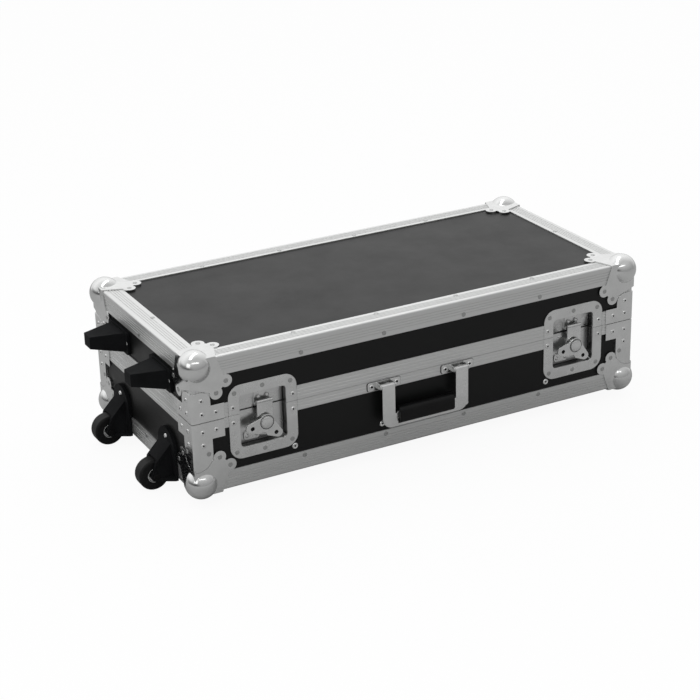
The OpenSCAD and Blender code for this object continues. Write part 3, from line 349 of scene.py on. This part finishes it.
def dish_shade(tree, place):
    """Painted shade in a latch's pressed dish: strong on its walls and along the parting seam,
    weaker over its floor as it deepens.
    """
    front, wall_reach, seam_half = SHIFT.y - HALF_WIDTH + 0.4, 1.2, 1.1
    steepness, wall_shade, floor_shade = 4.0, 0.92, 0.1
    depth = math_in(tree, "DIVIDE", math_in(tree, "SUBTRACT", place["Y"], front * MM),
                    RECESS_DEPTH * MM, clamp=True)
    below_flange = math_in(tree, "MULTIPLY", depth, steepness, clamp=True)
    off_case = math_in(tree, "ABSOLUTE", math_in(tree, "SUBTRACT", place["X"], SHIFT.x * MM))
    off_dish = math_in(tree, "ABSOLUTE", math_in(tree, "SUBTRACT", off_case, LATCH_X * MM))
    height = math_in(tree, "SUBTRACT", place["Z"], (SHIFT.z + PARTING) * MM)
    upward = math_in(tree, "ABSOLUTE", math_in(tree, "ADD", height, DISH_DROP * MM))
    wall = math_in(tree, "MAXIMUM",
                   math_in(tree, "GREATER_THAN", off_dish, (RECESS_HALF[0] - wall_reach) * MM),
                   math_in(tree, "GREATER_THAN", upward, (RECESS_HALF[1] - wall_reach) * MM))
    seam = math_in(tree, "LESS_THAN", math_in(tree, "ABSOLUTE", height), seam_half * MM)
    shade = math_in(tree, "MULTIPLY", math_in(tree, "MAXIMUM", wall, seam), below_flange)
    return math_in(tree, "MAXIMUM", math_in(tree, "MULTIPLY", shade, wall_shade),
                   math_in(tree, "MULTIPLY", depth, floor_shade))


def zinc_finish(name, tone, roughness, dents, dish=False):
    """Bright plated sheet: patchy gloss, gentle dents that bend its reflections, and painted shade
    inside a latch's dish.
    """
    finish = Finish(name, {"Metallic": 1.0})
    plating = finish.colour(finish.drift(45.0), [0.9 * part for part in tone], tone)
    # painted shade: the dish's walls, seam and floor blend towards near black
    if dish:
        shade = dish_shade(finish.tree, axes(finish.tree, finish.where))
        finish.colour(shade, plating, (0.03, 0.03, 0.03))
    finish.roughness(70.0, *roughness, scratches=(90.0, 0.6, 0.12))
    finish.relief(finish.drift(55.0), dents, 0.0006)
    return finish.material


def moulded_finish(name, tone, roughness, grain_scale, grain, specular=0.2):
    """Moulded plastic or rubber with a fine grain and slightly dusty patches."""
    finish = Finish(name, {"Specular IOR Level": specular})
    finish.colour(finish.drift(35.0), tone, [1.6 * part for part in tone])
    finish.roughness(60.0, roughness - 0.05, roughness + 0.05)
    finish.relief(finish.pebbles(grain_scale), grain, 0.0003)
    return finish.material


def birch_finish():
    """Plain birch plywood inside the case, its grain along the length."""
    finish = Finish("birch_plywood")
    grain = finish.drift(9.0, stretch=(1.0, 22.0, 22.0))
    finish.colour(grain, (0.42, 0.29, 0.16), (0.60, 0.45, 0.28))
    finish.roughness(40.0, 0.5, 0.65)
    finish.relief(grain, 0.2, 0.0002)
    return finish.material


def foam_finish():
    """Dark grey open-cell foam."""
    finish = Finish("grey_foam", {"Specular IOR Level": 0.2})
    cells = finish.pebbles(420.0)
    finish.colour(cells, (0.012, 0.012, 0.013), (0.05, 0.05, 0.053))
    finish.roughness(40.0, 0.85, 0.95)
    finish.relief(cells, 0.8, 0.0008)
    return finish.material


LAMINATE = laminate_finish()
PROFILE = profile_finish()
PRESSED = zinc_finish("bright_pressed_steel", (0.79, 0.795, 0.79), (0.10, 0.19), 0.10)
DISH_WITH_PAINTED_SHADE = zinc_finish("plated_dish_steel", (0.77, 0.775, 0.77), (0.24, 0.34), 0.08, dish=True)
FITTING = zinc_finish("plated_fitting_steel", (0.78, 0.785, 0.78), (0.18, 0.28), 0.06)
RIVET = zinc_finish("rivet_steel", (0.46, 0.465, 0.46), (0.24, 0.34), 0.02)
SCREW = zinc_finish("bright_screw_steel", (0.90, 0.905, 0.90), (0.18, 0.26), 0.02)
TUBE = zinc_finish("bright_tube_steel", (0.80, 0.805, 0.80), (0.16, 0.22), 0.012)
BAIL = zinc_finish("plated_bail_steel", (0.83, 0.835, 0.83), (0.18, 0.28), 0.06)
# near-black metal for rivet and screw cores and the castors' axles, and painted shade round the
# handle brackets and in the latch wings
DARK_METAL_AND_PAINTED_SHADE = zinc_finish("dark_rivet_core", (0.02, 0.02, 0.02), (0.5, 0.6), 0.02)
PLASTIC = moulded_finish("black_moulded_plastic", (0.0086, 0.0090, 0.0096), 0.46, 800.0, 0.10,
                         specular=0.02)
TYRE = moulded_finish("castor_tyre_rubber", (0.0050, 0.0050, 0.0052), 0.48, 600.0, 0.14)
GRIP = moulded_finish("grip_rubber", (0.0038, 0.0038, 0.0040), 0.34, 700.0, 0.08)
BIRCH = birch_finish()
FOAM = foam_finish()

SLOT_FINISH = {
    "laminate": LAMINATE, "plywood": BIRCH, "profile": PROFILE, "steel": FITTING,
    "rivet": RIVET, "black_plastic": PLASTIC, "rubber": TYRE, "foam": FOAM,
}
NODE_FINISH = {"handle_grip": GRIP, "trolley_rods": TUBE, "handle_bail": BAIL}


def finish_for(node):
    """A node's own finish, or that of its kind, or else that of its slot."""
    if node in NODE_FINISH:
        return NODE_FINISH[node]
    if "_corner_" in node or node.endswith("_braces"):
        return PRESSED
    if "dish" in node:
        return DISH_WITH_PAINTED_SHADE
    return SLOT_FINISH[slot_of_node[node]]


# ---------------------------------------------------------------- pieces
BEVEL_SEGMENTS, BEVEL_FROM, SHARP_FROM = 3, 35.0, 32.0
MERGE_WITHIN, FLAT_WITHIN = 0.001, 0.6
WELD, WELD_CORE = 1e-7, 2e-7  # metres, for turned pieces and for a core in its head
BUTTON_LIFT = 0.2

# how far the edges of each replaced node are rounded
EDGE_ROUNDING = {
    "base_rim": 0.25, "lid_rim": 0.25, "base_braces": 0.4, "lid_braces": 0.4,
    "left_latch_dish": 0.4, "right_latch_dish": 0.4, "latch_lid_dishes": 0.4,
    "left_latch_hook": 0.4, "right_latch_hook": 0.4,
    "handle_brackets": 0.4, "handle_bail": 0.5, "handle_grip": 2.0,
    "front_castor_bracket": 2.2, "rear_castor_bracket": 2.2,
    "wedge_feet": 1.4, "base_hinge_leaves": 0.3, "lid_hinge_leaves": 0.3,
    "trolley_grip": 0.7, "trolley_button": 1.1, "trolley_end_plate": 0.8,
    "front_wheel_hub": 0.4, "rear_wheel_hub": 0.4,
}
CORNER_ROUNDING, WING_ROUNDING, AXLE_ROUNDING = 0.45, 0.4, 0.5


def finished_piece(name, work, finishes, body, stands_for=()):
    """Turns a bmesh into a shown piece that rides on a body."""
    mesh = bpy.data.meshes.new(name)
    work.to_mesh(mesh)
    work.free()
    mesh.shade_smooth()
    mesh.set_sharp_from_angle(angle=math.radians(SHARP_FROM))
    for finish in finishes:
        mesh.materials.append(finish)
    piece = placed(name, mesh)
    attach(piece, body)
    if stands_for:
        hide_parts(*stands_for)
    return piece


def node_piece(node, ending, work, finishes):
    """A piece that stands for a node, on the node's own body."""
    return finished_piece(node + ending, work, finishes, body_of_node[node],
                          (node,))


def merged_copy(node):
    """A node's own mesh with its loose triangles joined into clean faces."""
    work = bmesh.new()
    work.from_mesh(nodes[node].data)
    bmesh.ops.remove_doubles(work, verts=work.verts, dist=MERGE_WITHIN * MM)
    bmesh.ops.dissolve_limit(work, angle_limit=math.radians(FLAT_WITHIN),
                             verts=work.verts, edges=work.edges)
    return work


def round_edges(piece, width):
    bevel = piece.modifiers.new("rounded_edges", "BEVEL")
    bevel.width = width * MM
    bevel.segments = BEVEL_SEGMENTS
    bevel.limit_method = "ANGLE"
    bevel.angle_limit = math.radians(BEVEL_FROM)
    bevel.harden_normals = False
    bevel.use_clamp_overlap = True


def lift_button(work):
    """Moves the button's inner face out, so that it stops above its pocket's floor."""
    inner = min(vert.co.x for vert in work.verts)
    for vert in work.verts:
        if vert.co.x < inner + BUTTON_LIFT / 2 * MM:
            vert.co.x += BUTTON_LIFT * MM


def soften_nodes():
    """Nodes again, with their sharp edges rounded by a small bevel."""
    corners = {node: CORNER_ROUNDING for node in nodes if "_corner_" in node}
    for node, width in {**EDGE_ROUNDING, **corners}.items():
        work = merged_copy(node)
        if node == "trolley_button":
            lift_button(work)
        round_edges(node_piece(node, "_rounded", work, [finish_for(node)]), width)


def bmesh_islands(work):
    """The vertices of each separate solid of a mesh, in a fixed order."""
    seen, found = set(), []
    for first in work.verts:
        if first in seen:
            continue
        seen.add(first)
        heap, group = [first], []
        while heap:
            vert = heap.pop()
            group.append(vert)
            for edge in vert.link_edges:
                other = edge.other_vert(vert)
                if other not in seen:
                    seen.add(other)
                    heap.append(other)
        found.append(group)
    return found


def islands(node):
    """Each separate solid of a node: its vertices' positions."""
    work = merged_copy(node)
    found = [[vert.co.copy() for vert in group] for group in bmesh_islands(work)]
    work.free()
    return found


def extent(points):
    """Lowest and highest corner of some points."""
    return (Vector([min(point[axis] for point in points) for axis in range(3)]),
            Vector([max(point[axis] for point in points) for axis in range(3)]))


# ---------------------------------------------------------------- rivets and screws
# half sections, as radius and height: the head from its rim, and the core in its middle; a
# near-black core stands for dark metal and for painted shade in a blind rivet's hollow and a
# screw's recess
BLIND_RIVET = ([(3.5, 0.0), (3.5, 0.25), (3.1, 0.72), (2.2, 1.05), (1.6, 1.12), (1.4, 1.0)],
               [(1.4, 1.0), (1.25, 0.42), (0.0, 0.42)])
FLUSH_RIVET = ([(3.4, 0.0), (3.4, 0.18), (3.1, 0.42), (2.2, 0.55), (1.9, 0.42)],
               [(1.9, 0.42), (1.7, 0.36), (0.9, 0.50), (0.0, 0.52)])
CUP_SCREW = ([(4.5, 0.0), (4.5, 0.3), (4.1, 0.85), (3.5, 1.15), (2.9, 1.0), (2.2, 0.7),
              (1.5, 0.65)],
             [(1.5, 0.65), (1.0, 0.15), (0.0, 0.1)])
BRACKET_RIVET = ([(3.5, 0.0), (3.5, 0.35), (3.2, 1.05), (2.7, 1.45), (2.2, 1.4), (1.8, 1.2)],
                 [(1.8, 1.2), (1.6, 0.98), (0.0, 0.96)])
WEDGE_SCREW = ([(3.4, 0.0), (3.4, 0.35), (2.7, 0.95), (1.7, 1.25), (1.3, 1.2)],
               [(1.3, 1.2), (0.9, 0.6), (0.0, 0.5)])
HEAD_STEPS = 18
TURN_EACH = 2.4  # radians from one fastener to the next

# blind rivets: how far the braces reach from the ends, and how far from the parting they go
BRACE_REACH, BRACE_RISE, DISH_RISE = 50.0, 40.0, 20.0

# carrying handle: the brackets' middles, width and height, and their rivets
HANDLE_X, ARM_PITCH, BRACKET, BRACKET_MID = -7.0, 121.2, (53.5, 12.9), PARTING - 7.35
BRACKET_PLATE, BRACKET_RIVET_HALF = 1.5, 20.3
# painted shadow round each bracket plate, a thin near-black sheet: its corner rounding, how much
# wider, higher and thick it is, and how far its middle is moved out and down
SHADOW_ROUND, SHADOW_WIDER, SHADOW_HIGHER, SHADOW_THICK, SHADOW_OFF = 3.0, 1.6, 0.9, 0.35, 0.1

# the other pairs and rows: half a pair's pitch or a row's places, where its middle is,
# and the thickness that it goes through
KEEPER_RIVET_HALF, KEEPER_RIVET_RISE, KEEPER_PLATE = 6.5, 15.1, 2.6
HINGE_RIVETS_ACROSS, HINGE_RIVETS_UP, HINGE_LEAF = (-19.0, 19.0), (8.0, 22.0), 2.0
WEDGE_SCREW_HALF, WEDGE_FOOT_OFF, WEDGE_FOOT_DROP, WEDGE_PLATE = 31.0, 77.0, 50.0, 2.0


def rivet_seats(node):
    """Where each rivet sits and which way it faces, read from its plain CAD head."""
    middle = (cad_lo + cad_hi) / 2
    seats = []
    for points in islands(node):
        low, high = extent(points)
        span = list(high - low)
        axis = span.index(min(span))  # a flat head is thinnest along its own axis
        outward = 1.0 if (low[axis] + high[axis]) / 2 > middle[axis] else -1.0
        centre = sum(points, Vector()) / len(points)
        centre[axis] = low[axis] if outward > 0 else high[axis]
        facing = Vector((0, 0, 0))
        facing[axis] = outward
        seats.append((centre, facing))
    return seats


def turned_profile(work, points, steps, matter=0):
    """Spins a half section in millimetres round Z and welds it."""
    verts = [work.verts.new((radius * MM, 0.0, height * MM)) for radius, height in points]
    edges = [work.edges.new(pair) for pair in zip(verts, verts[1:])]
    before = set(work.faces)
    bmesh.ops.spin(work, geom=verts + edges, cent=(0, 0, 0), axis=(0, 0, 1),
                   angle=math.tau, steps=steps, use_merge=True)
    bmesh.ops.remove_doubles(work, verts=work.verts, dist=WELD)
    for face in work.faces:
        if face not in before:
            face.material_index = matter


def fastener(head, core):
    """A turned head with a flat underside and a core of another colour in its middle."""
    work = bmesh.new()
    turned_profile(work, [(0.0, 0.0)] + head, HEAD_STEPS)
    turned_profile(work, core, HEAD_STEPS, matter=1)
    bmesh.ops.remove_doubles(work, verts=work.verts, dist=WELD_CORE)
    return work


def scatter(pattern, seats, work=None):
    """Copies a small pattern onto each seat, into the given mesh or a new one."""
    if work is None:
        work = bmesh.new()
    bmesh.ops.recalc_face_normals(pattern, faces=pattern.faces)
    source = bpy.data.meshes.new("pattern")
    pattern.to_mesh(source)
    pattern.free()
    for index, (place, facing) in enumerate(seats):
        before = set(work.verts)
        work.from_mesh(source)
        turn = facing.to_track_quat("Z", "Y").to_matrix().to_4x4()
        spin = Matrix.Rotation(index * TURN_EACH, 4, "Z")
        fresh = [vert for vert in work.verts if vert not in before]
        bmesh.ops.transform(work, matrix=Matrix.Translation(place) @ turn @ spin, verts=fresh)
    bpy.data.meshes.remove(source)
    return work


def fasteners(name, section, seats, finishes, body, stands_for=()):
    finished_piece(name, scatter(fastener(*section), seats), finishes, body,
                   stands_for)


def near_parting(seat):
    """Blind rivets hold the braces and the dishes' sides; the rest are hammered flush."""
    place = seat[0]
    on_brace = abs(place.x / MM - SHIFT.x) > HALF_LENGTH - BRACE_REACH
    rise = abs(place.z / MM - SHIFT.z - PARTING)
    return rise < (BRACE_RISE if on_brace else DISH_RISE)


def case_rivets(node):
    """The rivets of the base or the lid, domed near the parting and flush elsewhere."""
    seats, body = rivet_seats(node), body_of_node[node]
    fasteners(node + "_blind", BLIND_RIVET, [s for s in seats if near_parting(s)],
              [SCREW, DARK_METAL_AND_PAINTED_SHADE], body, (node,))
    fasteners(node + "_flush", FLUSH_RIVET, [s for s in seats if not near_parting(s)],
              [RIVET, RIVET], body)


def tray_screws():
    """Bright cup washers with countersunk screws."""
    fasteners("tray_screws_cupped", CUP_SCREW, rivet_seats("tray_screws"), [SCREW, DARK_METAL_AND_PAINTED_SHADE],
              body_of_node["tray_screws"], ("tray_screws",))


def handle_bracket_rivets():
    seats = [(at(HANDLE_X + arm * ARM_PITCH / 2 + end * BRACKET_RIVET_HALF,
                 -HALF_WIDTH - BRACKET_PLATE, BRACKET_MID), FRONTWARD)
             for arm in (-1, 1) for end in (-1, 1)]
    fasteners("handle_bracket_rivets", BRACKET_RIVET, seats, [SCREW, DARK_METAL_AND_PAINTED_SHADE], "base")


def handle_bracket_gaps():
    """Painted shadow: a thin near-black sheet round each riveted plate's edge on the profile."""
    work = bmesh.new()
    size = Vector((BRACKET[0] + SHADOW_WIDER, SHADOW_THICK, BRACKET[1] + SHADOW_HIGHER)) * MM
    for arm in (-1, 1):
        made = bmesh.ops.create_cube(work, size=1.0)["verts"]
        bmesh.ops.scale(work, vec=size, verts=made)
        middle = at(HANDLE_X + arm * ARM_PITCH / 2, -HALF_WIDTH - SHADOW_OFF,
                    BRACKET_MID - SHADOW_OFF)
        bmesh.ops.translate(work, vec=middle, verts=made)
    outward = [edge for edge in work.edges
               if abs((edge.verts[0].co - edge.verts[1].co).y) > SHADOW_THICK / 2 * MM]
    bmesh.ops.bevel(work, geom=outward, offset=SHADOW_ROUND * MM, offset_type="OFFSET", segments=4,
                    profile=0.5, affect="EDGES", material=-1)
    finished_piece("handle_bracket_gaps", work, [DARK_METAL_AND_PAINTED_SHADE], "base")


def keeper_rivets():
    """Two rivets through each latch's keeper, on the lid's half of the dish."""
    seats = [(at(side * LATCH_X + WORKS_OFF + end * KEEPER_RIVET_HALF,
                 -HALF_WIDTH + RECESS_DEPTH - KEEPER_PLATE, PARTING + KEEPER_RIVET_RISE),
              FRONTWARD) for side in (-1, 1) for end in (-1, 1)]
    fasteners("keeper_rivets", FLUSH_RIVET, seats, [RIVET, SCREW], "lid")


def hinge_rivets(half, inward):
    """Four blind rivets through each hinge leaf, counted inward from the leaf's free edge."""
    seats = []
    back = at(0, HALF_WIDTH + HINGE_LEAF, 0).y
    for points in islands(half + "_hinge_leaves"):
        low, high = extent(points)
        edge = low.z if inward > 0 else high.z
        for across in HINGE_RIVETS_ACROSS:
            for up in HINGE_RIVETS_UP:
                place = Vector(((low.x + high.x) / 2 + across * MM, back,
                                edge + inward * up * MM))
                seats.append((place, BACKWARD))
    fasteners(half + "_hinge_rivets", BLIND_RIVET, seats, [SCREW, DARK_METAL_AND_PAINTED_SHADE], half)


def wedge_foot_screws():
    """A bright screw in each seat of the wedge feet's plates."""
    seats = [(at(-HALF_LENGTH - WEDGE_PLATE, side * WEDGE_FOOT_OFF + end * WEDGE_SCREW_HALF,
                 HEIGHT - WEDGE_FOOT_DROP), LEFTWARD)
             for side in (-1, 1) for end in (-1, 1)]
    fasteners("wedge_foot_screws", WEDGE_SCREW, seats, [SCREW, DARK_METAL_AND_PAINTED_SHADE], "lid")


# ---------------------------------------------------------------- latch wings
WING_TILT, WING_LOWER, WING_WIDER = 20.0, 3.6, 1.0
LOBE_FROM, LOBE_BLEND = 12.0, 5.0  # where the lobes begin, from the spindle
WING_HOLE = (18.0, 9.0)  # along and below the spindle, before the lobes are drawn out
# painted shade, as half sections: a near-black ring round the knob and discs in the wing's two
# holes
KNOB_SHADOW_RING = [(9.7, 1.9), (9.7, 2.25), (10.5, 2.25), (10.5, 1.9), (9.7, 1.9)]
HOLE_SHADE_DISC = [(0.0, 0.2), (3.2, 0.2), (3.2, 0.35), (2.2, 0.55), (0.0, 0.45)]
RING_STEPS, HOLE_SHADE_STEPS = 40, 20


def latch_wing(node, side):
    """Butterfly wing: broad lobes under a round knob, with painted shade as a near-black ring
    round the knob and discs in its holes.
    """
    tilt = math.radians(WING_TILT)
    along = Vector((math.cos(tilt), 0, -math.sin(tilt)))
    upward = Vector((math.sin(tilt), 0, math.cos(tilt)))
    spindle = at(side * LATCH_X + WORKS_OFF, -HALF_WIDTH, PARTING - ROTOR_DROP)
    work = merged_copy(node)
    for vert in work.verts:
        out = vert.co - spindle
        reach = math.hypot(out.x, out.z) / MM
        pull = min(max((reach - LOBE_FROM) / LOBE_BLEND, 0.0), 1.0)
        sign = 1.0 if out.dot(along) > 0 else -1.0
        vert.co += pull * MM * (along * sign * WING_WIDER - upward * WING_LOWER)
    round_edges(node_piece(node, "_shaped", work, [FITTING]), WING_ROUNDING)

    # painted shade: a near-black ring round the knob and discs set in the wing's two holes
    ring, hole_shade = bmesh.new(), bmesh.new()
    turned_profile(ring, KNOB_SHADOW_RING, RING_STEPS)
    turned_profile(hole_shade, HOLE_SHADE_DISC, HOLE_SHADE_STEPS)
    holes = [spindle + MM * (along * end * (WING_HOLE[0] + WING_WIDER)
                             - upward * (WING_HOLE[1] + WING_LOWER)) for end in (-1, 1)]
    dark = scatter(ring, [(spindle, FRONTWARD)])
    scatter(hole_shade, [(hole, FRONTWARD) for hole in holes], dark)
    finished_piece(node + "_dark_gaps", dark, [DARK_METAL_AND_PAINTED_SHADE], body_of_node[node])


# ---------------------------------------------------------------- castors
BRIGHT_ABOVE = 40.0


def castor_axles():
    """The castors' axles, dark in their hoods, and the bright fasteners above them."""
    work = merged_copy("castor_axles")
    for group in bmesh_islands(work):
        middle = sum((vert.co for vert in group), Vector()) / len(group)
        matter = int(middle.z > (SHIFT.z + BRIGHT_ABOVE) * MM)
        for vert in group:
            for face in vert.link_faces:
                face.material_index = matter
    round_edges(node_piece("castor_axles", "_coloured", work, [DARK_METAL_AND_PAINTED_SHADE, SCREW]), AXLE_ROUNDING)


# ---------------------------------------------------------------- foam
FOAM_SHORT, FOAM_ROUND, THIN_ROUND = 0.6, 2.5, 0.3  # the last as a part of its thickness


def foam_piece(node):
    """Sheets of cut foam: blocks with softened edges, a hair smaller than their solids."""
    work = bmesh.new()
    for points in islands(node):
        low, high = extent(points)
        span = high - low
        made = bmesh.ops.create_cube(work, size=1.0)["verts"]
        bmesh.ops.scale(work, vec=span - Vector((FOAM_SHORT,) * 3) * MM, verts=made)
        bmesh.ops.translate(work, vec=(low + high) / 2, verts=made)
        edges = list({edge for vert in made for edge in vert.link_edges})
        bmesh.ops.bevel(work, geom=edges, offset=min(FOAM_ROUND * MM, THIN_ROUND * min(span)),
                        offset_type="OFFSET", segments=3, profile=0.5, affect="EDGES",
                        material=-1)
    bmesh.ops.recalc_face_normals(work, faces=work.faces)
    node_piece(node, "_cut", work, [FOAM])


# ---------------------------------------------------------------- studio, in metres
# place, size and watts of each lamp
LAMPS = {
    "overhead_strip": ((-0.2, 0.3, 2.2), (2.6, 0.5), 8.0),
    "front_strip": ((-0.5, -1.9, 1.9), (2.2, 0.12), 3.0),
    "left_strip": ((-2.4, -1.2, 1.3), (1.2, 1.2), 4.0),
}
LAMP_AIM = (0.0, 0.0, 0.1)
WHITE, ROOM_GREY = (1.0, 1.0, 1.0, 1.0), (0.8, 0.8, 0.8, 1.0)
PAPER_THROWN, PAPER_SEEN, PAPER_GLOW = (0.46, 0.46, 0.46), (0.96, 0.96, 0.96), 0.93
FLOOR_SIZE = 9.0


def seen_directly(tree):
    """1 for what the camera sees itself, 0 for what the case mirrors or is lit by."""
    rays = node_in(tree, "ShaderNodeLightPath").outputs
    return math_in(tree, "ADD", rays["Is Camera Ray"], rays["Is Transmission Ray"], clamp=True)


def studio_room():
    """White behind the case, with a room round it for the metal to mirror."""
    world = bpy.data.worlds.new("studio")
    bpy.context.scene.world = world
    world.use_nodes = True
    tree = world.node_tree
    tree.nodes.clear()
    towards = axes(tree, tree.nodes.new("ShaderNodeTexCoord").outputs["Generated"])
    # the room is bright overhead and behind the case, dimmer in front of it,
    # and a dark screen stands low at its left end
    lit = math_in(tree, "ADD", ramp(tree, towards["Z"], -0.1, 0.75, 0.36, 0.75),
                  ramp(tree, towards["Y"], -0.3, 0.6, 0.0, 0.72))
    screen = math_in(tree, "MULTIPLY", ramp(tree, towards["X"], -0.85, -0.45, 1.0, 0.0),
                     ramp(tree, towards["Z"], 0.15, 0.35, 0.75, 0.0))
    strength = math_in(tree, "MULTIPLY", lit, math_in(tree, "SUBTRACT", 1.0, screen))
    room = node_in(tree, "ShaderNodeBackground", {"Color": ROOM_GREY, "Strength": strength})
    backdrop = node_in(tree, "ShaderNodeBackground", {"Color": WHITE})
    mix = node_in(tree, "ShaderNodeMixShader",
                  {0: seen_directly(tree), 1: room.outputs[0], 2: backdrop.outputs[0]})
    node_in(tree, "ShaderNodeOutputWorld", {"Surface": mix.outputs[0]})


def studio_lamps():
    for name, (place, size, power) in LAMPS.items():
        data = bpy.data.lights.new(name, "AREA")
        data.shape = "RECTANGLE"
        data.size, data.size_y = size
        data.energy = power
        lamp = placed(name, data)
        lamp.location = place
        lamp.rotation_mode = "QUATERNION"
        lamp.rotation_quaternion = (Vector(place) - Vector(LAMP_AIM)).to_track_quat("Z", "Y")


def paper_finish():
    """Paper that is nearly white where it is seen, and greyer in what it throws back."""
    paper = bpy.data.materials.new("pale_paper")
    paper.use_nodes = True
    tree = paper.node_tree
    tree.nodes.clear()
    direct = seen_directly(tree)
    matt = node_in(tree, "ShaderNodeBsdfDiffuse",
                   {"Color": blended(tree, direct, PAPER_THROWN, PAPER_SEEN)})
    glow = node_in(tree, "ShaderNodeEmission", {"Color": WHITE, "Strength": 1.0})
    mix = node_in(tree, "ShaderNodeMixShader",
                  {0: math_in(tree, "MULTIPLY", direct, PAPER_GLOW),
                   1: matt.outputs[0], 2: glow.outputs[0]})
    node_in(tree, "ShaderNodeOutputMaterial", {"Surface": mix.outputs[0]})
    return paper


def studio_floor():
    work = bmesh.new()
    bmesh.ops.create_grid(work, x_segments=1, y_segments=1, size=FLOOR_SIZE)
    mesh = bpy.data.meshes.new("studio_floor")
    work.to_mesh(mesh)
    work.free()
    mesh.materials.append(paper_finish())
    placed("studio_floor", mesh)


# ---------------------------------------------------------------- the case
photograph_camera()
for node, item in nodes.items():
    for holder in item.material_slots:
        holder.material = finish_for(node)

soften_nodes()
case_rivets("base_rivets")
case_rivets("lid_rivets")
tray_screws()
handle_bracket_rivets()
handle_bracket_gaps()
keeper_rivets()
hinge_rivets("base", 1)
hinge_rivets("lid", -1)
latch_wing("left_latch_wing", -1)
latch_wing("right_latch_wing", 1)
wedge_foot_screws()
castor_axles()
foam_piece("lane_foam")
foam_piece("lid_foam")

bpy.context.scene.view_settings.view_transform = "Standard"
studio_room()
studio_lamps()
studio_floor()
